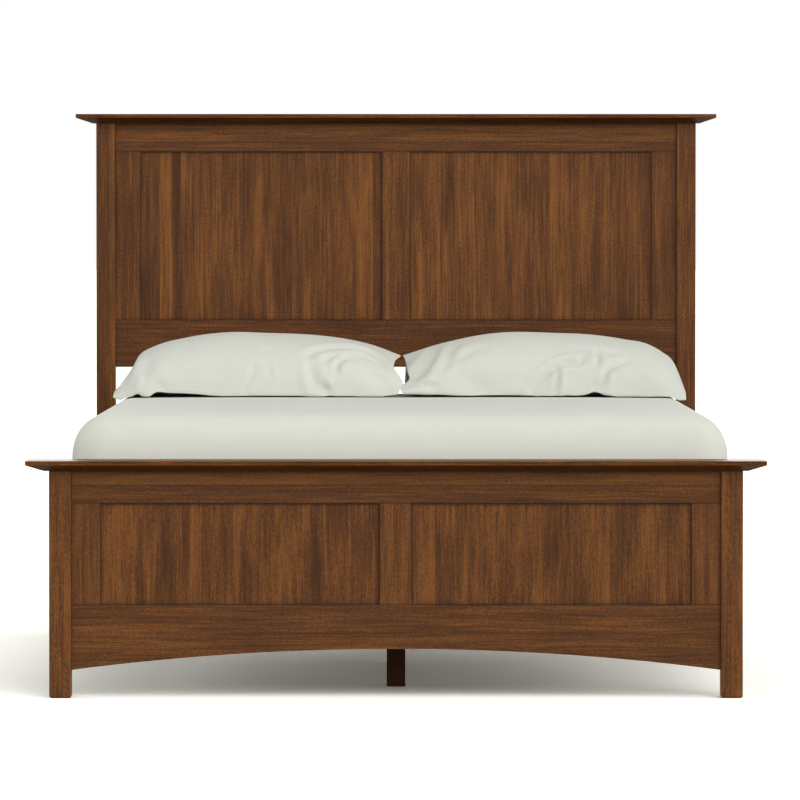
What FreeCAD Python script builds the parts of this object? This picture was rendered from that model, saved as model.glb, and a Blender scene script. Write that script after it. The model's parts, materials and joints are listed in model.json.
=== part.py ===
"""A queen panel bed in stained hardwood, with its mattress and two pillows.

The headboard and footboard are frame-and-panel ends between square posts under
bevelled caps.  Two side rails hook onto them and carry the slats on ledgers, and a
centre rail on three legs carries the slats' middles.

The origin is on the floor under the middle of the bed.  X runs across the bed, +Y
towards the headboard and +Z up.  Sizes are in millimetres.
"""

import FreeCAD, Part
import math
import os
import re

import Sketcher

SIZES = {
    # The bed as a whole
    "bed_width": 1613,  # over the outer faces of the posts
    "side_rail_length": 2083,  # from a head post to a foot post
    "head_height": 1403,
    "foot_height": 553,
    "deck_height": 350,  # top of the slats
    # Posts
    "post_size": 51,
    "post_edge_radius": 3,
    "post_foot_chamfer": 4,
    # Caps: a straight edge above a bevelled underside
    "cap_thickness": 24,
    "cap_edge_height": 10,
    "cap_edge_radius": 1.2,
    "cap_end_overhang": 53,
    "cap_side_overhang": 38,
    "cap_end_bevel": 42,
    "cap_side_bevel": 30,
    "dowel_radius": 5,
    "dowel_length": 40,
    "dowel_in_cap": 15,
    "dowel_offset": 13,  # outwards from a post's middle, clear of the tenon
    # Frame and panel
    "frame_thickness": 25,
    "top_rail_height": 76,
    "head_opening_height": 453,
    "foot_opening_height": 236,
    "head_low_rail_height": 127,
    "foot_low_rail_height": 152,
    "arch_rise": 49,
    "outer_stile_width": 68,
    "centre_stile_width": 76,
    "panel_thickness": 13,
    "groove_depth": 11,
    "panel_play": 1.5,  # room for the panel to swell in its grooves
    "tenon_length": 28,
    "tenon_thickness": 10,
    "tenon_shoulder": 12,
    "mortise_play": 1,
    # Side rails and ledgers
    "side_rail_height": 152,
    "side_rail_thickness": 25,
    "side_rail_inset": 11.5,  # in from the posts' outer faces
    "side_rail_radius": 2,
    "side_rail_rise": 40,  # above the top of the slats
    "ledger_width": 32,
    "ledger_height": 25,
    "ledger_end_gap": 20,
    # Slats
    "slat_count": 14,
    "slat_width": 89,
    "slat_thickness": 19,
    "slat_end_gap": 3,
    "slat_margin": 60,  # from the first slat to the post
    # Centre rail and its legs
    "centre_rail_width": 38,
    "centre_rail_height": 76,
    "leg_size": 44.5,
    "leg_gaps": 5,  # slat gaps from the middle leg to the others
    "leg_edge_radius": 1.5,
    "leg_bolt_radius": 4,
    "leg_bolt_depth": 45,  # down into the leg
    "nut_radius": 7.5,
    "nut_height": 6.5,
    "nut_recess_radius": 11,
    "nut_recess_depth": 12,
    # Levelling glides in the leg bottoms
    "glide_radius": 14,
    "glide_pad_height": 5,
    "glide_stem_radius": 4,
    "glide_stem_length": 40,
    "glide_gap": 1,  # round the pad
    "glide_clearance": 0.05,  # round the stem
    "insert_radius": 6.5,
    "insert_length": 15,
    # Bed rail fasteners
    "plate_width": 16,
    "plate_height": 150,
    "plate_thickness": 3,
    "plate_screw_inset": 9,  # from the plate's end
    "hook_thickness": 3,
    "hook_height": 14,
    "hook_drop": 12,
    "hook_spacing": 56,
    "hook_seat": 14,  # the upper hook's seat above the plate's middle
    "slot_play": 1,  # beside and above a hook
    "throat_play": 0.2,
    # Wood screws
    "screw_radius": 2,
    "screw_head_radius": 4,
    "screw_head_height": 2.5,
    "screw_play": 0.1,
    "plate_screw_length": 32,
    "slat_screw_length": 38,
    "ledger_screw_length": 48,
    # Mattress and its fitted sheet
    "mattress_thickness": 305,
    "mattress_side_gap": 7,  # to the side rails
    "mattress_head_gap": 6,  # to the head posts
    "mattress_foot_gap": 9,  # to the edge of the foot cap
    "mattress_crown": 7,
    "mattress_corner_radius": 125,
    "mattress_top_roll": 106,  # the rounding of the top edge, inwards
    "mattress_top_drop": 138,  # and downwards
    "mattress_foot_roll": 34,
    "sheet_thickness": 1.5,
    "sheet_hem_height": 45,  # above the slats
    # Pillows
    "pillow_length": 745,
    "pillow_depth": 500,
    "pillow_height": 166,
    "pillow_seam_height": 30,
    "pillow_edge": 5,
    "pillow_gap": 8,  # between the two
    "pillow_shift": 12,  # the pair lies this far right of the middle
    "pillow_back_gap": 12,  # to the posts' front faces
    "pillow_clearance": 0.3,  # above the sheet
}

# Places that several pieces share, as expressions of the sizes
POST_X = "(bed_width - post_size) / 2"
POST_Y = "(side_rail_length + post_size) / 2"
BETWEEN_POSTS = "(bed_width - 2 * post_size)"
STILE_X = "(bed_width / 2 - post_size - outer_stile_width / 2)"
PANEL_OPENING = f"(({BETWEEN_POSTS} - centre_stile_width) / 2 - outer_stile_width)"
PANEL_X = f"((centre_stile_width + {PANEL_OPENING}) / 2)"
SIDE_RAIL_X = "(bed_width / 2 - side_rail_inset - side_rail_thickness / 2)"
SIDE_RAIL_FOOT = "(deck_height + side_rail_rise - side_rail_height)"
SIDE_RAIL_MIDDLE = f"({SIDE_RAIL_FOOT} + side_rail_height / 2)"
LEDGER_X = f"({SIDE_RAIL_X} - (side_rail_thickness + ledger_width) / 2)"
LEDGER_LENGTH = "(side_rail_length - 2 * ledger_end_gap)"
UNDER_SLATS = "(deck_height - slat_thickness)"
FIRST_SLAT_Y = "(side_rail_length / 2 - slat_margin - slat_width / 2)"
SLAT_PITCH = f"(2 * {FIRST_SLAT_Y} / (slat_count - 1))"
# A ledger screw stands in the middle of every other gap between slats.
FIRST_LEDGER_SCREW_Y = f"({SLAT_PITCH} / 2 - {FIRST_SLAT_Y})"
LEDGER_SCREW_COUNT = "floor(slat_count / 2)"
LEDGER_SCREW_SPAN = f"(2 * {SLAT_PITCH} * ({LEDGER_SCREW_COUNT} - 1))"
LEG_SPACING = f"(leg_gaps * {SLAT_PITCH})"
CENTRE_RAIL_FOOT = f"({UNDER_SLATS} - centre_rail_height)"
PLATE_SCREW_Z = "(plate_height / 2 - plate_screw_inset)"
PLATE_X_IN_POST = "(post_size / 2 - side_rail_inset - side_rail_thickness / 2)"
HOOK_REACH = "(plate_thickness + throat_play + hook_thickness)"
SLOT_HEIGHT = "(hook_height + hook_drop + slot_play)"
DOWEL_IN_FRAME = "(dowel_length - dowel_in_cap)"
RAIL_DOWEL_X = PANEL_X
MATTRESS_WIDTH = f"(2 * {SIDE_RAIL_X} - side_rail_thickness - 2 * mattress_side_gap)"
MATTRESS_HEAD = "(side_rail_length / 2 - mattress_head_gap)"
MATTRESS_FOOT = "(mattress_foot_gap + cap_side_overhang - side_rail_length / 2)"
MATTRESS_LENGTH = f"({MATTRESS_HEAD} - {MATTRESS_FOOT})"

SIDES = {"left": -1, "right": 1}
ENDS = {"foot": -1, "head": 1}
UPPER_AND_LOWER = {"upper": 1, "lower": -1}
LEGS = {"front": -1, "middle": 0, "rear": 1}

ROLL_STEPS = 8  # up the rounding of the mattress's top edge
# The mattress's crown: how far in from the rounding, and how much of its rise
CROWN_LEVELS = [(0.15, 0.75), (0.35, 1)]
PILLOW_STEPS = 4  # from a pillow's middle to its end
PILLOW_WAIST = 0.965  # a pillow's depth at its middle, as a share of its ends'
LEAST_RISE = 0.5  # of a pillow's slice at its very end

doc = FreeCAD.newDocument("panel_bed")
sheet = doc.addObject("Spreadsheet::Sheet", "Sizes")
for row, (size_name, size) in enumerate(SIZES.items(), 1):
    sheet.set(f"A{row}", size_name)
    sheet.set(f"B{row}", str(size))
    sheet.setAlias(f"B{row}", size_name)
doc.recompute()

# Turns a primitive's own Z axis along X, Y or Z, and back along them.
TURNS = {
    "+x": FreeCAD.Rotation(FreeCAD.Vector(0, 1, 0), 90),
    "-x": FreeCAD.Rotation(FreeCAD.Vector(0, 1, 0), -90),
    "+y": FreeCAD.Rotation(FreeCAD.Vector(1, 0, 0), -90),
    "-y": FreeCAD.Rotation(FreeCAD.Vector(1, 0, 0), 90),
    "+z": FreeCAD.Rotation(),
    "-z": FreeCAD.Rotation(FreeCAD.Vector(1, 0, 0), 180),
}
TINY = 1e-6

pieces = []


# ---------------------------------------------------------------- tools of the model


def sized(text):
    """An expression in which each named size is read from its cell."""

    def cell(word):
        return f"Sizes.{word[0]}" if word[0] in SIZES else word[0]

    return re.sub(r"[a-z]\w*", cell, str(text))


def value(text):
    """What an expression of the sizes comes to, in millimetres."""
    return float(sheet.evalExpression(sized(text)))


def place(thing, x=0, y=0, z=0, turn="+z"):
    """Puts an object at a point given by expressions, with its Z axis turned."""
    thing.Placement = FreeCAD.Placement(FreeCAD.Vector(), TURNS[turn])
    for axis, where in zip("xyz", (x, y, z)):
        thing.setExpression(f"Placement.Base.{axis}", sized(where))


def new_piece(label):
    """A body of its own for one piece of the bed."""
    body = doc.addObject("PartDesign::Body", label)
    body.Label = label
    pieces.append(body)
    return body


def block(body, name, size, middle, cut=False):
    """Adds or cuts a block, from its three sizes and its middle."""
    kind = "Subtractive" if cut else "Additive"
    box = body.newObject(f"PartDesign::{kind}Box", name)
    for side, length in zip(("Length", "Width", "Height"), size):
        box.setExpression(side, sized(length))
    corner = [f"({where}) - ({length}) / 2" for where, length in zip(middle, size)]
    place(box, *corner)
    return box


def rod(body, name, radius, length, start, turn="+z", cut=True):
    """Cuts or adds a cylinder that leaves its start along an axis."""
    kind = "Subtractive" if cut else "Additive"
    cylinder = body.newObject(f"PartDesign::{kind}Cylinder", name)
    cylinder.setExpression("Radius", sized(radius))
    cylinder.setExpression("Height", sized(length))
    place(cylinder, *start, turn)
    return cylinder


def countersink(body, name, start, turn):
    """Cuts the seat of a screw's head, narrowing from the face at its start."""
    cone = body.newObject("PartDesign::SubtractiveCone", name)
    cone.setExpression("Radius1", sized("screw_head_radius + screw_play"))
    cone.setExpression("Radius2", sized("screw_radius + screw_play"))
    cone.setExpression("Height", sized("screw_head_height"))
    place(cone, *start, turn)
    return cone


def origin_part(body, role):
    """A plane or axis of a body's own origin."""
    return next(part for part in body.Origin.OriginFeatures if part.Role == role)


def repeat(body, name, features, role, length, count):
    """Repeats features evenly over a length along one of the body's axes."""
    pattern = body.newObject("PartDesign::LinearPattern", name)
    pattern.Originals = features
    pattern.Direction = (origin_part(body, role), [""])
    pattern.setExpression("Length", sized(length))
    pattern.setExpression("Occurrences", sized(count))
    body.Tip = pattern
    return pattern


def ease(body, name, size, chosen, kind="Fillet"):
    """Rounds or chamfers the chosen edges of what the body is so far."""
    doc.recompute()
    before = body.Tip
    edges = [f"Edge{n}" for n, edge in enumerate(before.Shape.Edges, 1) if chosen(edge)]
    dressing = body.newObject(f"PartDesign::{kind}", name)
    dressing.Base = (before, edges)
    dressing.setExpression("Radius" if kind == "Fillet" else "Size", sized(size))
    return dressing


def rises(edge):
    """Picks the edges that aren't level."""
    return edge.BoundBox.ZLength > TINY


def lies_on_floor(edge):
    """Picks the edges round a body's foot."""
    return edge.BoundBox.ZMax < TINY


def runs_lengthwise(edge):
    """Picks the edges along Y."""
    return edge.BoundBox.YLength > TINY and edge.BoundBox.XLength < TINY > edge.BoundBox.ZLength


def sketch_on(body, name, role, height=0):
    """An empty sketch on one of a body's own planes, raised by a height."""
    sketch = body.newObject("Sketcher::SketchObject", name)
    sketch.AttachmentSupport = (origin_part(body, role), [""])
    sketch.MapMode = "FlatFace"
    sketch.setExpression("AttachmentOffset.Base.z", sized(height))
    return sketch


def pin_point(sketch, edge, end, across, up):
    """Holds one end of a sketch's edge at a place given by two expressions."""
    for kind, where in (("DistanceX", across), ("DistanceY", up)):
        constraint = Sketcher.Constraint(kind, -1, 1, edge, end, value(where))
        number = sketch.addConstraint(constraint)
        sketch.setExpression(f"Constraints[{number}]", sized(where))


def outline(sketch, corners):
    """Draws a closed outline of straight edges through pinned corners."""
    points = [FreeCAD.Vector(value(across), value(up), 0) for across, up in corners]
    for number, point in enumerate(points):
        following = points[(number + 1) % len(points)]
        sketch.addGeometry(Part.LineSegment(point, following))
    for number, (across, up) in enumerate(corners):
        previous = (number - 1) % len(corners)
        sketch.addConstraint(Sketcher.Constraint("Coincident", previous, 2, number, 1))
        pin_point(sketch, number, 1, across, up)


def pad(body, name, sketch, length, symmetric=False):
    """Gives a sketch its thickness."""
    feature = body.newObject("PartDesign::Pad", name)
    feature.Profile = sketch
    feature.SideType = "Symmetric" if symmetric else "One side"
    feature.setExpression("Length", sized(length))
    return feature


# ---------------------------------------------------------------- headboard and footboard


def post(label, side, end, height, mortises):
    """A square post: mortises for the rails, and a plate recess for the side rail."""
    body = new_piece(label)
    block(body, "post", ["post_size", "post_size", height], [0, 0, f"{height} / 2"])
    ease(body, "foot_chamfer", "post_foot_chamfer", lies_on_floor, kind="Chamfer")
    ease(body, "eased_edges", "post_edge_radius", rises)
    depth = "(tenon_length + mortise_play)"
    for number, (rail_foot, rail_height) in enumerate(mortises, 1):
        tall = f"({rail_height} - 2 * tenon_shoulder)"
        middle = [f"{-side} * (post_size - {depth}) / 2", 0, f"{rail_foot} + {rail_height} / 2"]
        block(body, f"mortise_{number}", [depth, "tenon_thickness", tall], middle, cut=True)
    plate_x = f"{side} * {PLATE_X_IN_POST}"
    face = "post_size / 2"
    block(
        body,
        "plate_recess",
        ["plate_width", "plate_thickness", "plate_height"],
        [plate_x, f"{-end} * ({face} - plate_thickness / 2)", SIDE_RAIL_MIDDLE],
        cut=True,
    )
    pocket = f"({HOOK_REACH} + slot_play)"
    for name, level in UPPER_AND_LOWER.items():
        seat = hook_seat(level)
        block(
            body,
            f"{name}_hook_pocket",
            ["hook_thickness + 4 * slot_play", pocket, f"{SLOT_HEIGHT} + hook_drop + slot_play"],
            [
                plate_x,
                f"{-end} * ({face} - {pocket} / 2)",
                f"{SIDE_RAIL_MIDDLE} + {seat} + ({SLOT_HEIGHT} - hook_drop - slot_play) / 2",
            ],
            cut=True,
        )
        rod(
            body,
            f"{name}_pilot_hole",
            "screw_radius + screw_play",
            "plate_screw_length",
            [plate_x, f"{-end} * {face}", f"{SIDE_RAIL_MIDDLE} + {level} * {PLATE_SCREW_Z}"],
            turn="+y" if end > 0 else "-y",
        )
    rod(
        body,
        "dowel_hole",
        "dowel_radius",
        DOWEL_IN_FRAME,
        [f"{side} * dowel_offset", 0, height],
        turn="-z",
    )
    place(body, f"{side} * {POST_X}", f"{end} * {POST_Y}")


def dowel_places():
    """Where the cap's dowels stand along X: one in each post and three in the rail."""
    posts = [f"{side} * ({POST_X} + dowel_offset)" for side in SIDES.values()]
    return posts + ["0"] + [f"{side} * {RAIL_DOWEL_X}" for side in SIDES.values()]


def cap(label, end, under_cap):
    """A cap: a slab whose underside is bevelled on all four sides."""
    body = new_piece(label)
    half_x = "(bed_width / 2 + cap_end_overhang)"
    half_y = "(post_size / 2 + cap_side_overhang)"
    bevel_height = "(cap_thickness - cap_edge_height)"
    underside = sketch_on(body, "underside", "XY_Plane")
    outline(underside, rectangle(f"({half_x} - cap_end_bevel)", f"({half_y} - cap_side_bevel)"))
    edge = sketch_on(body, "edge_outline", "XY_Plane", bevel_height)
    outline(edge, rectangle(half_x, half_y))
    bevel = body.newObject("PartDesign::AdditiveLoft", "bevels")
    bevel.Profile = underside
    bevel.Sections = [edge]
    bevel.Ruled = True
    pad(body, "edge", edge, "cap_edge_height")
    ease(
        body,
        "eased_top",
        "cap_edge_radius",
        lambda line: line.BoundBox.ZMin > value("cap_thickness") - TINY,
    )
    for number, x in enumerate(dowel_places(), 1):
        rod(body, f"dowel_hole_{number}", "dowel_radius", "dowel_in_cap", [x, 0, 0])
    place(body, 0, f"{end} * {POST_Y}", under_cap)


def rectangle(half_x, half_y):
    """The corners of a rectangle about the origin."""
    turns = [(-1, -1), (1, -1), (1, 1), (-1, 1)]
    return [(f"{right} * {half_x}", f"{up} * {half_y}") for right, up in turns]


def add_tenons(body, height):
    """Runs a tenon out of both ends of a rail whose foot is at the body's origin."""
    size = ["tenon_length", "tenon_thickness", f"{height} - 2 * tenon_shoulder"]
    for hand, side in SIDES.items():
        x = f"{side} * ({BETWEEN_POSTS} + tenon_length) / 2"
        block(body, f"{hand}_tenon", size, [x, 0, f"{height} / 2"])


def cut_panel_groove(body, level):
    """Cuts the groove for the panels along a rail, at a level of its own."""
    size = [BETWEEN_POSTS, "panel_thickness", "groove_depth"]
    block(body, "panel_groove", size, [0, 0, level], cut=True)


def top_rail(label, end, foot):
    """The rail under the cap, grooved below for the panels."""
    body = new_piece(label)
    size = [BETWEEN_POSTS, "frame_thickness", "top_rail_height"]
    block(body, "rail", size, [0, 0, "top_rail_height / 2"])
    add_tenons(body, "top_rail_height")
    cut_panel_groove(body, "groove_depth / 2")
    for number, x in enumerate(dowel_places()[2:], 1):
        start = [x, 0, "top_rail_height"]
        rod(body, f"dowel_hole_{number}", "dowel_radius", DOWEL_IN_FRAME, start, turn="-z")
    place(body, 0, f"{end} * {POST_Y}", foot)


def straight_low_rail(label, end, foot, height):
    """The rail below the panels, grooved above for them."""
    body = new_piece(label)
    block(body, "rail", [BETWEEN_POSTS, "frame_thickness", height], [0, 0, f"{height} / 2"])
    add_tenons(body, height)
    cut_panel_groove(body, f"{height} - groove_depth / 2")
    place(body, 0, f"{end} * {POST_Y}", foot)


def arched_low_rail(label, end, foot, height):
    """The rail below the panels, with one long arc cut out of its lower edge."""
    body = new_piece(label)
    half = f"({BETWEEN_POSTS} / 2)"
    front = sketch_on(body, "front", "XZ_Plane")
    reach, top, rise = value(half), value(height), value("arch_rise")
    corners = [
        FreeCAD.Vector(-reach, 0, 0),
        FreeCAD.Vector(reach, 0, 0),
        FreeCAD.Vector(reach, top, 0),
        FreeCAD.Vector(-reach, top, 0),
    ]
    for start, finish in zip(corners[1:], corners[2:] + corners[:1]):
        front.addGeometry(Part.LineSegment(start, finish))
    # The sketch turns arcs to run anticlockwise, so this one runs from right to left.
    front.addGeometry(Part.Arc(corners[1], FreeCAD.Vector(0, rise, 0), corners[0]))
    right_edge, top_edge, left_edge, arch = range(4)
    for first, second in ((right_edge, top_edge), (top_edge, left_edge)):
        front.addConstraint(Sketcher.Constraint("Coincident", first, 2, second, 1))
    front.addConstraint(Sketcher.Constraint("Coincident", left_edge, 2, arch, 2))
    front.addConstraint(Sketcher.Constraint("Coincident", arch, 1, right_edge, 1))
    pin_point(front, right_edge, 1, half, 0)
    pin_point(front, top_edge, 1, half, height)
    pin_point(front, left_edge, 1, f"-{half}", height)
    pin_point(front, left_edge, 2, f"-{half}", 0)
    radius = f"({half} ^ 2 + arch_rise ^ 2) / (2 * arch_rise)"
    number = front.addConstraint(Sketcher.Constraint("Radius", arch, value(radius)))
    front.setExpression(f"Constraints[{number}]", sized(radius))
    pad(body, "rail", front, "frame_thickness", symmetric=True)
    add_tenons(body, height)
    cut_panel_groove(body, f"{height} - groove_depth / 2")
    place(body, 0, f"{end} * {POST_Y}", foot)


def stile(label, width, opening, grooved_sides, x, end, sill):
    """An upright between the rails, with a tongue at each end and a groove per panel."""
    body = new_piece(label)
    block(body, "stile", [width, "frame_thickness", opening], [0, 0, f"{opening} / 2"])
    tall = f"({opening} + 2 * groove_depth)"
    block(body, "tongues", [width, "panel_thickness", tall], [0, 0, f"{opening} / 2"])
    for side in grooved_sides:
        block(
            body,
            "groove_right" if side > 0 else "groove_left",
            ["groove_depth", "panel_thickness", tall],
            [f"{side} * ({width} - groove_depth) / 2", 0, f"{opening} / 2"],
            cut=True,
        )
    place(body, x, f"{end} * {POST_Y}", sill)


def panel(label, opening, x, end, sill):
    """A flat panel that stands in the lower groove, with play at its sides and top."""
    body = new_piece(label)
    wide = f"({PANEL_OPENING} + 2 * (groove_depth - panel_play))"
    tall = f"({opening} + 2 * groove_depth - panel_play)"
    size = [wide, "panel_thickness", tall]
    block(body, "panel", size, [0, 0, f"{tall} / 2 - groove_depth"])
    place(body, x, f"{end} * {POST_Y}", sill)


def bed_end(name, end, height, opening, low_height, make_low_rail):
    """The ten pieces of the headboard or the footboard."""
    under_cap = f"({height} - cap_thickness)"
    top_rail_foot = f"({under_cap} - top_rail_height)"
    sill = f"({top_rail_foot} - {opening})"
    low_rail_foot = f"({sill} - {low_height})"
    mortises = [(top_rail_foot, "top_rail_height"), (low_rail_foot, low_height)]
    for hand, side in SIDES.items():
        post(f"{name}_{hand}_post", side, end, under_cap, mortises)
    cap(f"{name}_cap", end, under_cap)
    top_rail(f"{name}_top_rail", end, top_rail_foot)
    make_low_rail(f"{name}_bottom_rail", end, low_rail_foot, low_height)
    for hand, side in SIDES.items():
        x = f"{side} * {STILE_X}"
        stile(f"{name}_{hand}_stile", "outer_stile_width", opening, [-side], x, end, sill)
        panel(f"{name}_{hand}_panel", opening, f"{side} * {PANEL_X}", end, sill)
    centre = f"{name}_centre_stile"
    stile(centre, "centre_stile_width", opening, SIDES.values(), 0, end, sill)


# ---------------------------------------------------------------- rails, slats and legs


def side_rail(label, side):
    """A side rail, with a plate recess in each end and pilots for the ledger's screws."""
    body = new_piece(label)
    size = ["side_rail_thickness", "side_rail_length", "side_rail_height"]
    block(body, "rail", size, [0, 0, "side_rail_height / 2"])
    ease(body, "eased_edges", "side_rail_radius", runs_lengthwise)
    for hand, end in ENDS.items():
        face = f"{end} * side_rail_length / 2"
        block(
            body,
            f"{hand}_plate_recess",
            ["plate_width", "plate_thickness", "plate_height"],
            [0, f"{face} - {end} * plate_thickness / 2", "side_rail_height / 2"],
            cut=True,
        )
        for name, level in UPPER_AND_LOWER.items():
            rod(
                body,
                f"{hand}_{name}_pilot_hole",
                "screw_radius + screw_play",
                "plate_screw_length",
                [0, face, f"side_rail_height / 2 + {level} * {PLATE_SCREW_Z}"],
                turn="-y" if end > 0 else "+y",
            )
    pilot = rod(
        body,
        "ledger_pilot_hole",
        "screw_radius + screw_play",
        "ledger_screw_length - ledger_width",
        [
            f"{-side} * side_rail_thickness / 2",
            FIRST_LEDGER_SCREW_Y,
            f"{UNDER_SLATS} - ledger_height / 2 - {SIDE_RAIL_FOOT}",
        ],
        turn="+x" if side > 0 else "-x",
    )
    name = "ledger_pilot_holes"
    repeat(body, name, [pilot], "Y_Axis", LEDGER_SCREW_SPAN, LEDGER_SCREW_COUNT)
    place(body, f"{side} * {SIDE_RAIL_X}", 0, SIDE_RAIL_FOOT)


def ledger(label, side):
    """The strip inside a side rail that the slats' ends lie on."""
    body = new_piece(label)
    block(
        body,
        "strip",
        ["ledger_width", LEDGER_LENGTH, "ledger_height"],
        [0, 0, "-ledger_height / 2"],
    )
    turn = "+x" if side > 0 else "-x"
    start = [f"{-side} * ledger_width / 2", FIRST_LEDGER_SCREW_Y, "-ledger_height / 2"]
    hole = rod(body, "screw_hole", "screw_radius + screw_play", "ledger_width", start, turn)
    seat = countersink(body, "head_seat", start, turn)
    name = "screw_holes"
    repeat(body, name, [hole, seat], "Y_Axis", LEDGER_SCREW_SPAN, LEDGER_SCREW_COUNT)
    pilot = rod(
        body,
        "slat_pilot_hole",
        "screw_radius + screw_play",
        "slat_screw_length - slat_thickness",
        [0, f"-{FIRST_SLAT_Y}", 0],
        turn="-z",
    )
    repeat(body, "slat_pilot_holes", [pilot], "Y_Axis", f"2 * {FIRST_SLAT_Y}", "slat_count")
    place(body, f"{side} * {LEDGER_X}", 0, UNDER_SLATS)


def slat_y(number):
    """Where a slat lies along Y, counted from 0 at the foot."""
    return f"({SLAT_PITCH} * {number} - {FIRST_SLAT_Y})"


def slat_screw_places():
    """Where a slat is screwed down along X: on each ledger and on the centre rail."""
    return [f"-{LEDGER_X}", "0", LEDGER_X]


def slat(label, number):
    """A slat across the bed, screwed down at both ends and in the middle."""
    body = new_piece(label)
    half_length = f"({SIDE_RAIL_X} - side_rail_thickness / 2 - slat_end_gap)"
    block(
        body,
        "board",
        [f"2 * {half_length}", "slat_width", "slat_thickness"],
        [0, 0, "-slat_thickness / 2"],
    )
    for name, x in zip(("left", "middle", "right"), slat_screw_places()):
        start = [x, 0, 0]
        radius = "screw_radius + screw_play"
        rod(body, f"{name}_screw_hole", radius, "slat_thickness", start, "-z")
        countersink(body, f"{name}_head_seat", start, "-z")
    place(body, 0, slat_y(number), "deck_height")


def leg_y(number):
    """Where a centre leg stands along Y, from its number in LEGS."""
    return f"{number} * {LEG_SPACING}"


def on_each_leg(master, height):
    """A copy of a fitting for each centre leg, at a height of its own."""
    return [(master, [0, leg_y(number), height], "+z") for number in LEGS.values()]


def centre_rail(label):
    """The rail under the slats' middles, drilled for the leg bolts and their nuts."""
    body = new_piece(label)
    size = ["centre_rail_width", LEDGER_LENGTH, "centre_rail_height"]
    block(body, "rail", size, [0, 0, "-centre_rail_height / 2"])
    start = [0, leg_y(-1), 0]
    radius = "leg_bolt_radius + screw_play"
    bolt_hole = rod(body, "bolt_hole", radius, "centre_rail_height", start, "-z")
    recess = rod(body, "nut_recess", "nut_recess_radius", "nut_recess_depth", start, "-z")
    span = f"2 * {LEG_SPACING}"
    repeat(body, "bolt_holes", [bolt_hole, recess], "Y_Axis", span, len(LEGS))
    pilot = rod(
        body,
        "slat_pilot_hole",
        "screw_radius + screw_play",
        "slat_screw_length - slat_thickness",
        [0, f"-{FIRST_SLAT_Y}", 0],
        turn="-z",
    )
    repeat(body, "slat_pilot_holes", [pilot], "Y_Axis", f"2 * {FIRST_SLAT_Y}", "slat_count")
    place(body, 0, 0, UNDER_SLATS)


def centre_leg(label, number):
    """A square leg: a bolt hole above, and below a recess with the glide's insert."""
    body = new_piece(label)
    size = ["leg_size", "leg_size", CENTRE_RAIL_FOOT]
    block(body, "leg", size, [0, 0, f"{CENTRE_RAIL_FOOT} / 2"])
    ease(body, "eased_edges", "leg_edge_radius", rises)
    top = [0, 0, CENTRE_RAIL_FOOT]
    rod(body, "bolt_hole", "leg_bolt_radius + screw_play", "leg_bolt_depth", top, "-z")
    rod(body, "glide_recess", "glide_radius + glide_gap", "glide_pad_height", [0, 0, 0])
    above_pad = [0, 0, "glide_pad_height"]
    rod(body, "insert_hole", "insert_radius", "insert_length", above_pad)
    stem_room = "glide_stem_radius + glide_gap / 2"
    rod(body, "stem_hole", stem_room, "glide_stem_length + glide_gap", above_pad)
    place(body, 0, leg_y(number))


def leveller(label, number):
    """A levelling glide: a round pad on a threaded stem, turned home into its leg."""
    body = new_piece(label)
    rod(body, "pad", "glide_radius", "glide_pad_height", [0, 0, 0], cut=False)
    above_pad = [0, 0, "glide_pad_height"]
    rod(body, "stem", "glide_stem_radius", "glide_stem_length", above_pad, cut=False)
    place(body, 0, leg_y(number))


# ---------------------------------------------------------------- fasteners and plates


def hook_seat(level):
    """The height of a hook's seat above the middle of its plate, upper 1 or lower -1."""
    return f"(hook_seat - {(1 - level) // 2} * hook_spacing)"


def simple_solid(kind, name, sizes, at=(0, 0, 0), turn="+z"):
    """A primitive with bound sizes, for the fasteners."""
    solid = doc.addObject(f"Part::{kind}", name)
    for side, size in sizes.items():
        solid.setExpression(side, sized(size))
    place(solid, *at, turn)
    return solid


def joined(name, solids):
    """One solid from several that meet."""
    whole = doc.addObject("Part::MultiFuse", name)
    whole.Shapes = solids
    return whole


def group(label, copies):
    """A piece that is a group of like solids, each a copy of a master at its place."""
    links = []
    for number, (master, point, turn) in enumerate(copies, 1):
        link = doc.addObject("App::Link", f"{label}_{number}")
        link.LinkedObject = master
        place(link, *point, turn)
        links.append(link)
    compound = doc.addObject("Part::Compound", label)
    compound.Links = links
    compound.Label = label
    pieces.append(compound)


def wood_screw(name, length):
    """A countersunk wood screw that points down from a head flush with its origin."""
    head = simple_solid(
        "Cone",
        f"{name}_head",
        {"Radius1": "screw_head_radius", "Radius2": "screw_radius", "Height": "screw_head_height"},
        turn="-z",
    )
    shank = simple_solid(
        "Cylinder",
        f"{name}_shank",
        {"Radius": "screw_radius", "Height": f"{length} - screw_head_height"},
        at=(0, 0, "-screw_head_height"),
        turn="-z",
    )
    return joined(name, [head, shank])


def plate_corners():
    """Each corner of the bed where a side rail meets a post: its end and its place."""
    for side in SIDES.values():
        for end in ENDS.values():
            x = f"{side} * {SIDE_RAIL_X}"
            yield end, [x, f"{end} * side_rail_length / 2", SIDE_RAIL_MIDDLE]


def plate_screws():
    """The screws of all the plates: each post plate's and each hook plate's."""
    screw = wood_screw("plate_screw", "plate_screw_length")
    copies = []
    for _, (x, y, z) in plate_corners():
        for level in UPPER_AND_LOWER.values():
            point = [x, y, f"{z} + {level} * {PLATE_SCREW_Z}"]
            copies += [(screw, point, turn) for turn in ("-y", "+y")]
    group("plate_screws", copies)


def slat_screws():
    """Three screws for each slat."""
    screw = wood_screw("slat_screw", "slat_screw_length")
    copies = []
    for number in range(int(value("slat_count"))):
        for x in slat_screw_places():
            copies.append((screw, [x, slat_y(number), "deck_height"], "+z"))
    group("slat_screws", copies)


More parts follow.
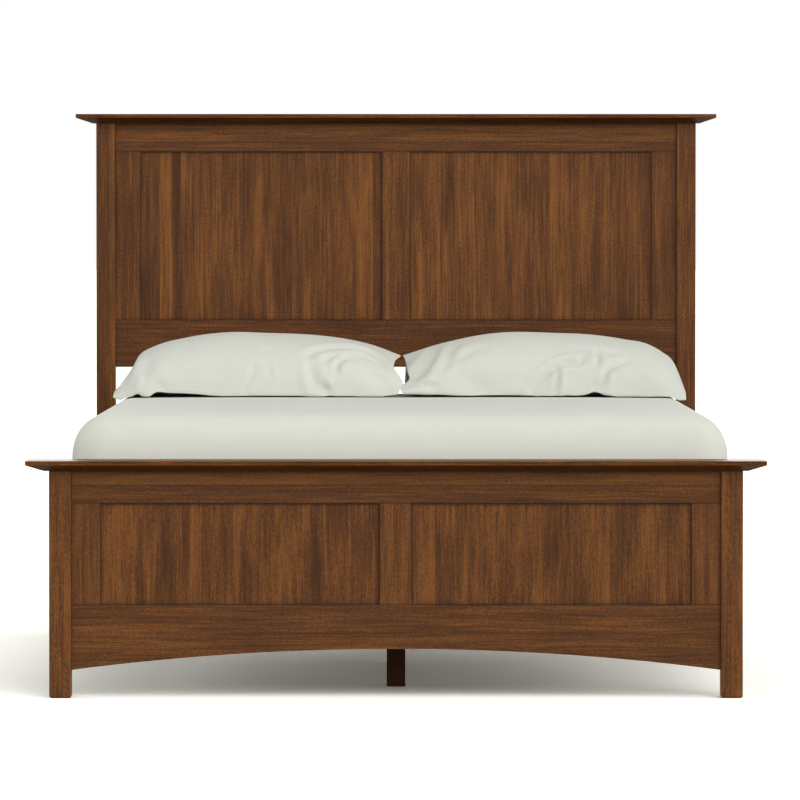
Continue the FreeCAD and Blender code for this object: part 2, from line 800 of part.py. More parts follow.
def ledger_screws():
    """The screws that hold both ledgers to the side rails."""
    screw = wood_screw("ledger_screw", "ledger_screw_length")
    copies = []
    for side in SIDES.values():
        x = f"{side} * ({LEDGER_X} - ledger_width / 2)"
        for number in range(int(value(LEDGER_SCREW_COUNT))):
            y = f"{FIRST_LEDGER_SCREW_Y} + 2 * {SLAT_PITCH} * {number}"
            point = [x, y, f"{UNDER_SLATS} - ledger_height / 2"]
            copies.append((screw, point, "-x" if side > 0 else "+x"))
    group("ledger_screws", copies)


def hook_plates():
    """The plates in the side rails' ends, with two hooks each that face the post."""
    masters = {}
    for name, end in ENDS.items():
        body = doc.addObject("PartDesign::Body", f"{name}_hook_plate")
        block(
            body,
            "plate",
            ["plate_width", "plate_thickness", "plate_height"],
            [0, f"{-end} * plate_thickness / 2", 0],
        )
        for hand, level in UPPER_AND_LOWER.items():
            seat = hook_seat(level)
            block(
                body,
                f"{hand}_neck",
                ["hook_thickness", f"{HOOK_REACH}", "hook_height"],
                [0, f"{end} * {HOOK_REACH} / 2", f"{seat} + hook_height / 2"],
            )
            block(
                body,
                f"{hand}_lip",
                ["hook_thickness", "hook_thickness", "hook_height + hook_drop"],
                [
                    0,
                    f"{end} * ({HOOK_REACH} - hook_thickness / 2)",
                    f"{seat} + (hook_height - hook_drop) / 2",
                ],
            )
            cut_plate_screw_hole(body, hand, level, -end)
        masters[end] = body
    group("rail_hook_plates", [(masters[end], point, "+z") for end, point in plate_corners()])


def slot_plates():
    """The slotted plates let into the posts, which the hooks drop into."""
    masters = {}
    for name, end in ENDS.items():
        body = doc.addObject("PartDesign::Body", f"{name}_slot_plate")
        block(
            body,
            "plate",
            ["plate_width", "plate_thickness", "plate_height"],
            [0, f"{end} * plate_thickness / 2", 0],
        )
        for hand, level in UPPER_AND_LOWER.items():
            block(
                body,
                f"{hand}_slot",
                ["hook_thickness + 2 * slot_play", "plate_thickness", SLOT_HEIGHT],
                [0, f"{end} * plate_thickness / 2", f"{hook_seat(level)} + {SLOT_HEIGHT} / 2"],
                cut=True,
            )
            cut_plate_screw_hole(body, hand, level, end)
        masters[end] = body
    group("post_slot_plates", [(masters[end], point, "+z") for end, point in plate_corners()])


def cut_plate_screw_hole(body, name, level, into):
    """Cuts a countersunk hole through a plate, from the plane between rail and post."""
    start = [0, 0, f"{level} * {PLATE_SCREW_Z}"]
    turn = "+y" if into > 0 else "-y"
    rod(body, f"{name}_screw_hole", "screw_radius + screw_play", "plate_thickness", start, turn)
    countersink(body, f"{name}_head_seat", start, turn)


def cap_dowels():
    """The dowels between both caps and the posts and rails under them."""
    sizes = {"Radius": "dowel_radius", "Height": "dowel_length"}
    dowel = simple_solid("Cylinder", "cap_dowel", sizes)
    copies = []
    for name, end in ENDS.items():
        foot = f"{name}_height - cap_thickness - {DOWEL_IN_FRAME}"
        for x in dowel_places():
            copies.append((dowel, [x, f"{end} * {POST_Y}", foot], "+z"))
    group("cap_dowels", copies)


def leg_bolts():
    """A bolt through the centre rail into each leg, and the nut that draws it tight."""
    above_leg = "(centre_rail_height - nut_recess_depth + nut_height)"
    sizes = {"Radius": "leg_bolt_radius", "Height": f"leg_bolt_depth + {above_leg}"}
    bolt = simple_solid("Cylinder", "leg_bolt", sizes)
    group("leg_bolts", on_each_leg(bolt, f"{CENTRE_RAIL_FOOT} - leg_bolt_depth"))
    nut = doc.addObject("Part::Cut", "leg_nut")
    blank = {"Circumradius": "nut_radius", "Height": "nut_height"}
    nut.Base = simple_solid("Prism", "nut_blank", blank)
    nut.Base.Polygon = 6
    bore = {"Radius": "leg_bolt_radius + screw_play", "Height": "nut_height"}
    nut.Tool = simple_solid("Cylinder", "nut_bore", bore)
    group("leg_nuts", on_each_leg(nut, f"{UNDER_SLATS} - nut_recess_depth"))


def leg_inserts():
    """The threaded inserts that the levelling glides turn in."""
    insert = doc.addObject("Part::Cut", "leg_insert")
    outside = {"Radius": "insert_radius", "Height": "insert_length"}
    inside = {"Radius": "glide_stem_radius + glide_clearance", "Height": "insert_length"}
    insert.Base = simple_solid("Cylinder", "insert_sleeve", outside)
    insert.Tool = simple_solid("Cylinder", "insert_bore", inside)
    group("leg_inserts", on_each_leg(insert, "glide_pad_height"))


# ---------------------------------------------------------------- mattress and pillows


def soft_piece(label, shape, x=0, y=0, z=0):
    """A piece whose form is worked out from the sizes, put in its place."""
    feature = doc.addObject("Part::Feature", label)
    feature.Shape = shape
    feature.Label = label
    place(feature, x, y, z)
    pieces.append(feature)


def level_slice(half_x, half_y, radius, z):
    """A level rectangle with round corners, as one wire of lines and arcs."""
    radius = min(radius, 0.98 * half_x, 0.98 * half_y)
    edges = []
    for quarter in range(4):
        right = 1 if quarter in (0, 3) else -1
        back = 1 if quarter in (0, 1) else -1
        centre = FreeCAD.Vector(right * (half_x - radius), back * (half_y - radius), z)
        start = quarter * math.pi / 2
        turn = [start, start + math.pi / 4, start + math.pi / 2]
        arc = [
            centre + FreeCAD.Vector(radius * math.cos(angle), radius * math.sin(angle), 0)
            for angle in turn
        ]
        edges.append(Part.Arc(*arc).toShape())
    closed = []
    for edge, following in zip(edges, edges[1:] + edges[:1]):
        closed.append(edge)
        gap = (edge.Vertexes[-1].Point, following.Vertexes[0].Point)
        closed.append(Part.LineSegment(*gap).toShape())
    return Part.Wire(closed)


def mattress_form(grown, hem):
    """The mattress as level slices: a rolled foot, plain sides, a deep roll and a crown.

    The roll follows a quarter of an ellipse.  The form is grown outwards and upwards
    by a skin, and starts at the hem's height.
    """
    half_x = value(f"{MATTRESS_WIDTH} / 2") + grown
    half_y = value(f"{MATTRESS_LENGTH} / 2") + grown
    radius = value("mattress_corner_radius")
    top = value("mattress_thickness - mattress_crown") + grown
    roll, drop = value("mattress_top_roll"), value("mattress_top_drop")
    foot = value("mattress_foot_roll")
    quarter_turns = [step / 3 * math.pi / 2 for step in range(3)]
    levels = [(foot * (1 - math.sin(turn)), foot * (1 - math.cos(turn))) for turn in quarter_turns]
    levels = [(inset, z) for inset, z in levels if z >= hem]
    levels.append((0, max(hem, foot)))
    for step in range(ROLL_STEPS + 1):
        turn = step / ROLL_STEPS * math.pi / 2
        levels.append((roll * (1 - math.cos(turn)), top - drop * (1 - math.sin(turn))))
    for way_in, share in CROWN_LEVELS:
        inset = roll + (half_x - roll) * way_in
        levels.append((inset, top + value("mattress_crown") * share))
    slices = [level_slice(half_x - inset, half_y - inset, radius, z) for inset, z in levels]
    return Part.makeLoft(slices, True, True)


def mattress_and_sheet():
    """The mattress, and the fitted sheet over its top and sides."""
    core = mattress_form(0, 0)
    y = f"({MATTRESS_HEAD} + {MATTRESS_FOOT}) / 2"
    soft_piece("mattress", core, y=y, z="deck_height")
    hem = value("sheet_hem_height")
    skin = mattress_form(value("sheet_thickness"), hem).cut(core)
    soft_piece("fitted_sheet", skin, y=y, z="deck_height")


def pillow_form():
    """A pillow as upright slices along its length, each a low arc under a high one.

    At a share s of the way from its middle to an end, its thickness is its full one
    times the square root of 1 - s^4.  Its long sides draw in towards its middle.
    """
    half_length = value("pillow_length / 2")
    half_depth = value("pillow_depth / 2")
    seam, edge = value("pillow_seam_height"), value("pillow_edge")
    crown = value("pillow_height - pillow_seam_height")
    slices = []
    for step in range(-PILLOW_STEPS, PILLOW_STEPS + 1):
        along = math.sin(step / PILLOW_STEPS * math.pi / 2)
        plump = math.sqrt(1 - along**4)
        half = half_depth * (PILLOW_WAIST + (1 - PILLOW_WAIST) * along**2)
        x = along * half_length
        high = seam + edge / 2 + (crown - edge / 2) * plump
        low = seam - edge / 2 - (seam - edge / 2) * plump
        front_low = FreeCAD.Vector(x, -half, seam - edge / 2)
        back_low = FreeCAD.Vector(x, half, seam - edge / 2)
        front_high = FreeCAD.Vector(x, -half, seam + edge / 2)
        back_high = FreeCAD.Vector(x, half, seam + edge / 2)
        slices.append(
            Part.Wire(
                [
                    low_arc(front_low, FreeCAD.Vector(x, 0, low), back_low),
                    Part.LineSegment(back_low, back_high).toShape(),
                    low_arc(back_high, FreeCAD.Vector(x, 0, high), front_high),
                    Part.LineSegment(front_high, front_low).toShape(),
                ]
            )
        )
    return Part.makeLoft(slices, True, False)


def low_arc(start, middle, finish):
    """An arc through three points, with a least rise where they are in line."""
    rise = middle.z - start.z
    if abs(rise) < LEAST_RISE:
        middle.z = start.z + math.copysign(LEAST_RISE, rise)
    return Part.Arc(start, middle, finish).toShape()


def pillows():
    """Two pillows side by side against the headboard."""
    y = "side_rail_length / 2 - pillow_back_gap - pillow_depth / 2"
    z = "deck_height + mattress_thickness + sheet_thickness + pillow_clearance"
    for hand, side in SIDES.items():
        x = f"pillow_shift + {side} * (pillow_length + pillow_gap) / 2"
        soft_piece(f"{hand}_pillow", pillow_form(), x, y, z)


# ---------------------------------------------------------------- the whole bed


bed_end(
    "headboard", 1, "head_height", "head_opening_height", "head_low_rail_height", straight_low_rail
)
bed_end(
    "footboard", -1, "foot_height", "foot_opening_height", "foot_low_rail_height", arched_low_rail
)
for hand, side in SIDES.items():
    side_rail(f"{hand}_side_rail", side)
    ledger(f"{hand}_ledger", side)
for number in range(int(value("slat_count"))):
    slat(f"slat_{number + 1:02d}", number)
centre_rail("centre_rail")
for name, number in LEGS.items():
    centre_leg(f"{name}_centre_leg", number)
    leveller(f"{name}_leveller", number)
hook_plates()
slot_plates()
plate_screws()
slat_screws()
ledger_screws()
cap_dowels()
leg_bolts()
leg_inserts()
mattress_and_sheet()
pillows()
doc.recompute()

for thing in doc.Objects:
    if "Invalid" in thing.State or "Error" in thing.State:
        raise RuntimeError(f"{thing.Label} failed: {thing.State}")
    if thing.TypeId.startswith("PartDesign::Subtractive"):
        if thing.Shape.Volume >= thing.BaseFeature.Shape.Volume - TINY:
            body = thing.getParentGeoFeatureGroup()
            raise RuntimeError(f"{thing.Label} of {body.Label} cuts nothing")
for piece in pieces:
    if piece.Shape.isNull() or not piece.Shape.isValid():
        raise RuntimeError(f"{piece.Label} has no valid shape")

os.makedirs("parts", exist_ok=True)
for piece in pieces:
    piece.Shape.exportStep(f"parts/{piece.Label}.step")
print(len(pieces), "pieces")
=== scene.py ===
"""A panel bed in walnut-stained wood, with its slats, fittings and bedding."""

import json
import math

import bpy
import numpy as np
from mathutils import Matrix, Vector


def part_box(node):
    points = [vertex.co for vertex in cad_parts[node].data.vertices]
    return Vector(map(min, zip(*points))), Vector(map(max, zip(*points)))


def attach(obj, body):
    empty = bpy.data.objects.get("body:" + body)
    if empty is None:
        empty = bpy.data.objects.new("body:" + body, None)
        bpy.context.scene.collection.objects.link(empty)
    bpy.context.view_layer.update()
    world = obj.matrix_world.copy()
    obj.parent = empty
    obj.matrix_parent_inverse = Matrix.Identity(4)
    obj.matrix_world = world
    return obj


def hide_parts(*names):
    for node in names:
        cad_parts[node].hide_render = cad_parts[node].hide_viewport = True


bl_info = {
    "name": "Panel Bed",
    "version": (1, 0, 0),
    "blender": (4, 5, 0),
    "location": "3D View > Sidebar > Bed",
    "description": "Finishes a frame-and-panel bed and makes its bedding",
    "category": "Object",
}

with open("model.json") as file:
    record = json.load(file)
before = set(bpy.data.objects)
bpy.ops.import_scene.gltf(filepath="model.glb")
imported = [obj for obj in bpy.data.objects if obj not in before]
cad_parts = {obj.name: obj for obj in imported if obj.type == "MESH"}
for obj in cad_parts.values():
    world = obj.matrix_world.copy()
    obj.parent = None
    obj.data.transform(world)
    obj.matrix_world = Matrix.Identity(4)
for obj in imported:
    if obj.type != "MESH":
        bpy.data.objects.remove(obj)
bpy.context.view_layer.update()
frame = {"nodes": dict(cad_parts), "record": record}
MILLIMETRE = 0.001
COLOUR = {"min": 0, "max": 1, "subtype": "COLOR"}
SHARE = {"min": 0, "max": 1, "subtype": "FACTOR"}


def corners(node):
    """A node's lowest and highest corners as arrays, in metres."""
    return tuple(np.array(corner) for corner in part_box(node))


# ------------------------------------------------------------------ sizes and colours


class WoodSettings(bpy.types.PropertyGroup):
    """The stained wood of the frame and the bare wood of the deck."""

    dark: bpy.props.FloatVectorProperty(
        name="Dark grain",
        description="Stain in the darkest streaks",
        default=(0.052, 0.0165, 0.0035),
        **COLOUR,
    )
    middle: bpy.props.FloatVectorProperty(
        name="Main tone",
        description="Stain over most of the wood",
        default=(0.108, 0.0375, 0.0085),
        **COLOUR,
    )
    light: bpy.props.FloatVectorProperty(
        name="Light streaks",
        description="Stain in the lightest, most orange streaks",
        default=(0.215, 0.078, 0.016),
        **COLOUR,
    )
    roughness: bpy.props.FloatProperty(
        name="Lacquer roughness",
        description="Roughness of the satin lacquer",
        default=0.42,
        **SHARE,
    )
    poplar: bpy.props.FloatVectorProperty(
        name="Bare wood",
        description="The unfinished slats, ledgers and centre rail",
        default=(0.52, 0.36, 0.2),
        **COLOUR,
    )


class StageSettings(bpy.types.PropertyGroup):
    """The floor, the light and the camera."""

    camera_distance: bpy.props.FloatProperty(
        name="Camera distance",
        description="From the camera to the footboard's front",
        default=13.33,
        unit="LENGTH",
    )
    camera_height: bpy.props.FloatProperty(
        name="Camera height",
        description="Height of the camera above the floor",
        default=1.065,
        unit="LENGTH",
    )
    focal_pixels: bpy.props.FloatProperty(
        name="Focal length in pixels",
        description="Focal length as a count of the picture's pixels",
        default=5744,
    )
    horizon: bpy.props.FloatProperty(
        name="Horizon",
        description="Rows from the picture's top to the level of the camera",
        default=240,
    )
    middle_column: bpy.props.FloatProperty(
        name="Middle of the bed",
        description="Columns from the picture's left edge to the middle of the bed",
        default=396,
    )
    floor_bounce: bpy.props.FloatProperty(
        name="Floor tone",
        description="How much light the floor gives back to the bed",
        default=0.15,
        **SHARE,
    )
    low_sky: bpy.props.FloatProperty(
        name="Low room light",
        description="Soft light from all round, at the level of the floor",
        default=1.05,
        min=0,
    )
    high_sky: bpy.props.FloatProperty(
        name="High room light",
        description="Soft light from overhead",
        default=0.28,
        min=0,
    )


# ------------------------------------------------------------------ materials


class Socket:
    """A socket of numbers in a material, on which arithmetic adds Math nodes."""

    def __init__(self, finish, output):
        self.finish = finish
        self.output = output

    def math(self, operation, *others, clamp=False):
        values = dict(enumerate((self, *others)))
        settings = {"operation": operation, "use_clamp": clamp}
        return self.finish.node("ShaderNodeMath", settings, values)

    def __add__(self, other):
        return self.math("ADD", other)

    def __sub__(self, other):
        return self.math("SUBTRACT", other)

    def __rsub__(self, other):
        return (self * -1) + other

    def __mul__(self, other):
        return self.math("MULTIPLY", other)

    def __truediv__(self, other):
        return self.math("DIVIDE", other)

    def __pow__(self, other):
        return self.math("POWER", other)

    def __neg__(self):
        return self * -1

    __radd__ = __add__
    __rmul__ = __mul__

    def clamped(self):
        return self.math("ADD", 0, clamp=True)

    def step(self, low, high):
        """0 below one value and 1 above the other, with an eased rise between them."""
        settings = {"interpolation_type": "SMOOTHSTEP"}
        return self.finish.node(
            "ShaderNodeMapRange", settings, {"Value": self, "From Min": low, "From Max": high}
        )


class Finish:
    """The nodes of a material, or of the room's light, being made."""

    def __init__(self, owner, end):
        owner.use_nodes = True
        self.owner = owner
        self.nodes = owner.node_tree.nodes
        self.links = owner.node_tree.links
        self.end = self.nodes[end]

    @classmethod
    def surface(cls, name, **constants):
        """A new material, with the numbers that are the same all over it."""
        made = cls(bpy.data.materials.new(name), "Principled BSDF")
        for socket, value in constants.items():
            made.end.inputs[socket.replace("_", " ")].default_value = value
        return made

    def node(self, kind, settings, values, output=0):
        """Adds a node: its settings first, then the numbers or links of its sockets."""
        made = self.nodes.new(kind)
        for name, setting in settings.items():
            if name == "stops":
                self.set_stops(made.color_ramp, setting)
            elif name == "interpolation":
                made.color_ramp.interpolation = setting
            else:
                setattr(made, name, setting)
        for name, value in values.items():
            if isinstance(value, Socket):
                self.links.new(value.output, made.inputs[name])
            else:
                made.inputs[name].default_value = value
        return Socket(self, made.outputs[output])

    @staticmethod
    def set_stops(ramp, stops):
        while len(ramp.elements) < len(stops):
            ramp.elements.new(1)
        for element, (position, colour) in zip(ramp.elements, sorted(stops)):
            element.position = position
            element.color = (*colour, 1)

    def place(self):
        """The three coordinates of a point on the piece, in metres."""
        point = self.node("ShaderNodeTexCoord", {}, {}, "Object")
        return [self.node("ShaderNodeSeparateXYZ", {}, {0: point}, axis) for axis in "XYZ"]

    def vector(self, x, y, z):
        return self.node("ShaderNodeCombineXYZ", {}, {0: x, 1: y, 2: z})

    def noise(self, x, y, z, detail=2, roughness=0.5):
        """Smooth noise about 0.5, at coordinates that are already scaled."""
        values = {"Vector": self.vector(x, y, z), "Scale": 1, "Detail": detail}
        return self.node("ShaderNodeTexNoise", {}, {**values, "Roughness": roughness})

    def mix(self, factor, first, second, blend="MIX"):
        """Mixes two colours."""
        settings = {"data_type": "RGBA", "blend_type": blend}
        first, second = ((*c, 1) if isinstance(c, (tuple, list)) else c for c in (first, second))
        return self.node("ShaderNodeMix", settings, {0: factor, 6: first, 7: second}, 2)

    def grey(self, value):
        """A colour whose three channels are all one value."""
        channels = dict.fromkeys(("Red", "Green", "Blue"), value)
        return self.node("ShaderNodeCombineColor", {}, channels)

    def bump(self, height, distance, strength=1.0, normal=None):
        values = {"Height": height, "Distance": distance, "Strength": strength}
        if normal:
            values["Normal"] = normal
        return self.node("ShaderNodeBump", {}, values)

    def finish(self, **links):
        for socket, value in links.items():
            self.links.new(value.output, self.end.inputs[socket.replace("_", " ")])
        return self.owner


def dress(node, material):
    """Gives a CAD node its material."""
    mesh = frame["nodes"][node].data
    mesh.materials.clear()
    mesh.materials.append(material)


def visible_face(node):
    """The part of a rail's, stile's or panel's front that its neighbours leave bare.

    Its least and greatest x and z: along these joints the colour is darkened, a thin dark line for
    the glaze in the joint together with painted shade, and a wider band of painted shade where the
    face lies in a recess or beside a proud post.
    """
    end, kind = node.split("_", 1)
    if end not in ("headboard", "footboard") or kind.endswith(("post", "cap")):
        return None
    low, high = corners(node)
    if kind.endswith("rail"):
        left, right = corners(f"{end}_left_post")[1][0], corners(f"{end}_right_post")[0][0]
        return float(left), float(right), float(low[2]), float(high[2])
    bottom, top = corners(f"{end}_bottom_rail")[1][2], corners(f"{end}_top_rail")[0][2]
    left, right = low[0], high[0]
    if kind.endswith("panel"):
        sides = ("left", "centre") if kind == "left_panel" else ("centre", "right")
        left = corners(f"{end}_{sides[0]}_stile")[1][0]
        right = corners(f"{end}_{sides[1]}_stile")[0][0]
    return float(left), float(right), float(bottom), float(top)


def board_tones(finish, across, low, high, boards):
    """Reads a board's tone and its own number from a place across a glued-up piece.

    The boards are (width, tone) pairs from low to high; their widths are shares of the
    piece's, and between two boards the value jumps.
    """
    total = sum(width for width, tone in boards)
    stops = []
    reached = 0
    for number, (width, tone) in enumerate(boards):
        stops.append((reached / total, (0.5 + tone, (number * 0.37 + 0.11) % 1, 0)))
        reached += width
    share = (across - low) / (high - low)
    settings = {"interpolation": "CONSTANT", "stops": stops}
    colour = finish.node("ShaderNodeValToRGB", settings, {0: share})
    tone = finish.node("ShaderNodeSeparateColor", {}, {0: colour}, "Red")
    number = finish.node("ShaderNodeSeparateColor", {}, {0: colour}, "Green")
    return tone - 0.5, number


def stained_wood(settings, node, grain, boards, seed):
    """Walnut-stained wood whose grain runs along one axis of the piece.

    Bands, streaks, lines and blotches are noises drawn out along the grain, on a
    coordinate across it that sways a little from end to end; fibres and pores are finer
    noises.  Each board of the piece has its own tone, and its own place in the noises.
    """
    random = np.random.RandomState(seed)
    sheen = 0.07 if node.endswith(("cap", "leg")) else 0.15
    mottle = 0.75
    if node.endswith("panel"):
        mottle = 1.35 if node.startswith("headboard") else 1.55
    finish = Finish.surface(f"walnut_stain_{node}", Specular_IOR_Level=sheen)
    low, high = corners(node)
    place = finish.place()
    along_axis, wide_axis, deep_axis = {"x": (0, 2, 1), "y": (1, 2, 0), "z": (2, 0, 1)}[grain]
    along, across, deep = place[along_axis], place[wide_axis], place[deep_axis]
    sides = float(low[wide_axis]), float(high[wide_axis])
    # A board's tone is its own, and for a few pieces also painted light and shade: see the table
    # of boards.
    tone, number = board_tones(finish, across, *sides, boards)
    shift = [float(draw) for draw in random.uniform(0, 20, 3)]
    own = number * 7.3 + shift[0]
    sway = finish.noise(across * 2.5 + own, deep * 2.5, along * 1.3 + shift[1])
    bent = across + (sway - 0.5) * 0.022
    bands = finish.noise(bent * 48 + own, deep * 48, along * 2.4 + shift[2])
    streaks = finish.noise(bent * 170 + own, deep * 170, along * 4, roughness=0.6)
    lines = finish.noise(bent * 420 + own, deep * 420, along * 10, roughness=0.65)
    blotches = finish.noise(
        bent * 22 + own, deep * 22, along * 4.5 + shift[2], detail=3, roughness=0.6
    )
    fibres = finish.noise(across * 480 + own, deep * 480, along * 150, roughness=0.6)
    pores = finish.noise(across * 1300 + own, deep * 1300, along * 70, detail=1)
    pores = pores.step(0.6, 0.76)
    light = (
        (bands - 0.5) * 0.8
        + (streaks - 0.5) * 0.95
        + (lines - 0.5) * 1.2
        + (blotches - 0.5) * mottle
        + (fibres - 0.5) * 1.5
        - pores * 0.42
        + tone * 1.25
        + 0.53
    ).clamped()
    tints = [tuple(settings.dark), tuple(settings.middle), tuple(settings.light)]
    stops = list(zip((0.0, 0.5, 1.0), tints))
    colour = finish.node("ShaderNodeValToRGB", {"stops": stops}, {0: light})
    face = visible_face(node)
    if face:
        left, right, bottom, top = face
        x, _, z = place
        from_sides = (x - left).math("MINIMUM", right - x)
        from_ends = (z - bottom).math("MINIMUM", top - z)
        away = from_sides.math("MINIMUM", from_ends)
        # Painted shade: a thin dark line at each joint, partly the glaze in the joint, and a wider
        # soft band of shade, strongest on the recessed panels.
        soft = 0.2 if node.endswith("panel") else 0.07
        joint_line_and_painted_shade = away.step(-0.001, 0.0038) * 0.56 + away.step(0.0, 0.016) * soft + (0.44 - soft)
        colour = finish.mix(1.0, colour, finish.grey(joint_line_and_painted_shade), blend="MULTIPLY")
    roughness = (fibres - 0.5) * 0.12 + pores * 0.1 + settings.roughness
    surface = fibres * 0.35 - pores + lines * 0.15
    return finish.finish(
        Base_Color=colour, Roughness=roughness, Normal=finish.bump(surface, 0.00012)
    )


# The boards that a piece is glued up from, across its width from left to right or from
# the bottom up: each one's width in millimetres, and how much lighter it is. A few tones
# are painted light and shade, as marked below.
BOARD_TONES_AND_PAINTED_LIGHT = {
    "headboard_left_panel": [
        (60, -0.06), (32, 0.14), (24, -0.22), (60, 0.0), (81, 0.02), (126, -0.05), (143, -0.05),
        (64, -0.01), (43, 0.16), (36, -0.16),
    ],
    "headboard_right_panel": [
        (88, 0.05), (84, 0.0), (115, 0.03), (100, -0.04), (35, 0.14), (207, 0.02), (41, -0.05),
    ],
    "footboard_left_panel": [
        (114, 0.04), (102, 0.0), (28, 0.14), (74, 0.0), (135, 0.05), (77, 0.01), (138, -0.06),
    ],
    "footboard_right_panel": [
        (60, 0.13), (41, -0.1), (37, 0.02), (132, 0.06), (294, -0.01), (33, 0.13), (40, -0.1),
        (30, -0.04),
    ],
    # The top rails' upper boards are lighter partly as painted light against the shade under the
    # cap. The thin dark board is the glue line.
    "headboard_top_rail": [(24, -0.04), (2, -0.55), (50, 0.06)],
    "footboard_top_rail": [(41, -0.05), (1.8, -0.5), (33, 0.17)],
    "footboard_bottom_rail": [(62, -0.01), (90, -0.04)],
    "headboard_bottom_rail": [(70, -0.13), (57, -0.17)],
    "headboard_left_post": [(36, -0.12), (15, 0.03)],
    "headboard_right_post": [(33, -0.06), (18, -0.02)],
    "footboard_left_post": [(34, -0.01), (17, 0.08)],
    "footboard_right_post": [(31, 0.07), (20, 0.14)],
    "headboard_left_stile": [(68, -0.09)],
    "headboard_right_stile": [(68, -0.08)],
    "footboard_left_stile": [(68, 0.02)],
    "footboard_right_stile": [(68, 0.06)],
    "headboard_centre_stile": [(10, -0.04), (26, 0.1), (40, -0.02)],
    "footboard_centre_stile": [(50, 0.11), (26, 0.06)],
    # A cap's lower 14.5 mm is its underside bevel: on the headboard it is darkened as painted
    # shade under the overhang.
    "headboard_cap": [(14.5, -0.28), (9.5, 0.0)],
    "footboard_cap": [(14.5, -0.04), (9.5, -0.06)],
    # The centre legs are darkened as painted shade under the bed.
    **{f"{place}_centre_leg": [(1, -0.5)] for place in ("front", "middle", "rear")},
}


class StainFrame(bpy.types.Operator):
    """Stains the posts, caps, rails, stiles, panels and legs."""

    bl_idname = "bed.stain_frame"
    bl_label = "Stain the Frame"

    def execute(self, context):
        settings = context.scene.bed_wood
        nodes = slot_nodes("walnut_stain")
        for number, node in enumerate(nodes):
            grain = "x"
            if node.endswith(("post", "stile", "panel", "leg")):
                grain = "z"
            elif node.endswith("side_rail"):
                grain = "y"
            boards = BOARD_TONES_AND_PAINTED_LIGHT.get(node, [(1, 0.0)])
            dress(node, stained_wood(settings, node, grain, boards, seed=number + 11))
        return {"FINISHED"}


def slot_nodes(slot):
    """The CAD nodes that the record gives one of its material slots."""
    return sorted(
        part["node"] for part in frame["record"]["subparts"] if part["material_slot"] == slot
    )


def bare_wood(name, colour, seed):
    """Planed wood with no finish: pale, with faint lengthwise grain."""
    finish = Finish.surface(name, Specular_IOR_Level=0.25)
    x, y, z = finish.place()
    fibres = finish.noise(x * 14 + seed, y * 420, z * 420, roughness=0.6)
    bands = finish.noise(x * 3 + seed, y * 60, z * 60)
    light = (fibres - 0.5) * 0.5 + (bands - 0.5) * 0.9 + 0.5
    darker = tuple(channel * 0.62 for channel in colour)
    lighter = tuple(min(1, channel * 1.25) for channel in colour)
    tint = finish.mix(light.clamped(), darker, lighter)
    roughness = (fibres - 0.5) * 0.2 + 0.68
    return finish.finish(
        Base_Color=tint, Roughness=roughness, Normal=finish.bump(fibres, 0.0002)
    )


class FinishDeck(bpy.types.Operator):
    """Gives the slats, ledgers, centre rail and dowels their bare wood."""

    bl_idname = "bed.finish_deck"
    bl_label = "Finish the Deck"

    def execute(self, context):
        settings = context.scene.bed_wood
        colour = tuple(settings.poplar)
        for number, node in enumerate(slot_nodes("slat_poplar")):
            dress(node, bare_wood(f"slat_poplar_{node}", colour, seed=number * 3.7))
        dress("cap_dowels", bare_wood("dowel_beech", (0.55, 0.34, 0.17), seed=1.3))
        return {"FINISHED"}


def steel(name, colour, roughness):
    """Plated steel with faint blotches of dullness."""
    finish = Finish.surface(name, Metallic=1)
    x, y, z = finish.place()
    dull = finish.noise(x * 240, y * 240, z * 240, detail=3)
    tint = finish.mix(dull, tuple(c * 0.8 for c in colour), colour)
    return finish.finish(
        Base_Color=tint, Roughness=(dull - 0.5) * 0.3 + roughness, Normal=finish.bump(dull, 0.0001)
    )


def nylon(name):
    """Black moulded nylon with a fine grained surface."""
    finish = Finish.surface(name, Specular_IOR_Level=0.4)
    x, y, z = finish.place()
    grain = finish.noise(x * 1800, y * 1800, z * 1800)
    tint = finish.mix(grain, (0.012, 0.012, 0.012), (0.03, 0.03, 0.03))
    return finish.finish(
        Base_Color=tint, Roughness=grain * 0.2 + 0.5, Normal=finish.bump(grain, 0.0001)
    )


class FinishFittings(bpy.types.Operator):
    """Gives the screws, bolts, plates and glides their metal and nylon."""

    bl_idname = "bed.finish_fittings"
    bl_label = "Finish the Fittings"

    def execute(self, context):
        metals = {
            "plate_steel": steel("plate_steel", (0.3, 0.3, 0.31), 0.4),
            "zinc_steel": steel("zinc_steel", (0.6, 0.6, 0.58), 0.3),
            "glide_nylon": nylon("glide_nylon"),
        }
        for slot, material in metals.items():
            for node in slot_nodes(slot):
                dress(node, material)
        return {"FINISHED"}


# ------------------------------------------------------------------ shapes


def curve_through(points, places):
    """A smooth curve through points, read at places along the first number of each.

    Between two points it is the cubic whose slopes are those of the chords between
    each point's neighbours.
    """
    at, value = np.array(points, float).T
    slope = np.gradient(value, at)
    place = np.clip(places, at[0], at[-1])
    span = np.clip(np.searchsorted(at, place, side="right") - 1, 0, len(at) - 2)
    width = at[span + 1] - at[span]
    t = (place - at[span]) / width
    start, end = value[span], value[span + 1]
    start_slope, end_slope = slope[span] * width, slope[span + 1] * width
    return (
        start * (2 * t**3 - 3 * t**2 + 1)
        + start_slope * (t**3 - 2 * t**2 + t)
        + end * (3 * t**2 - 2 * t**3)
        + end_slope * (t**3 - t**2)
    )


def eased(value, low, high):
    """0 below one value and 1 above the other, with an eased rise between them."""
    t = np.clip((value - low) / (high - low), 0, 1)
    return t * t * (3 - 2 * t)


def ripples(first, second, waves, seed):
    """Smooth uneven ripples over two coordinates: a sum of sines in random directions."""
    random = np.random.RandomState(seed)
    height = np.zeros(np.broadcast(first, second).shape)
    for _ in range(waves):
        turn, phase = random.uniform(0, 2 * math.pi, 2)
        pace = random.uniform(0.6, 1.6)
        height += np.sin(pace * (first * math.cos(turn) + second * math.sin(turn)) + phase)
    return height / waves


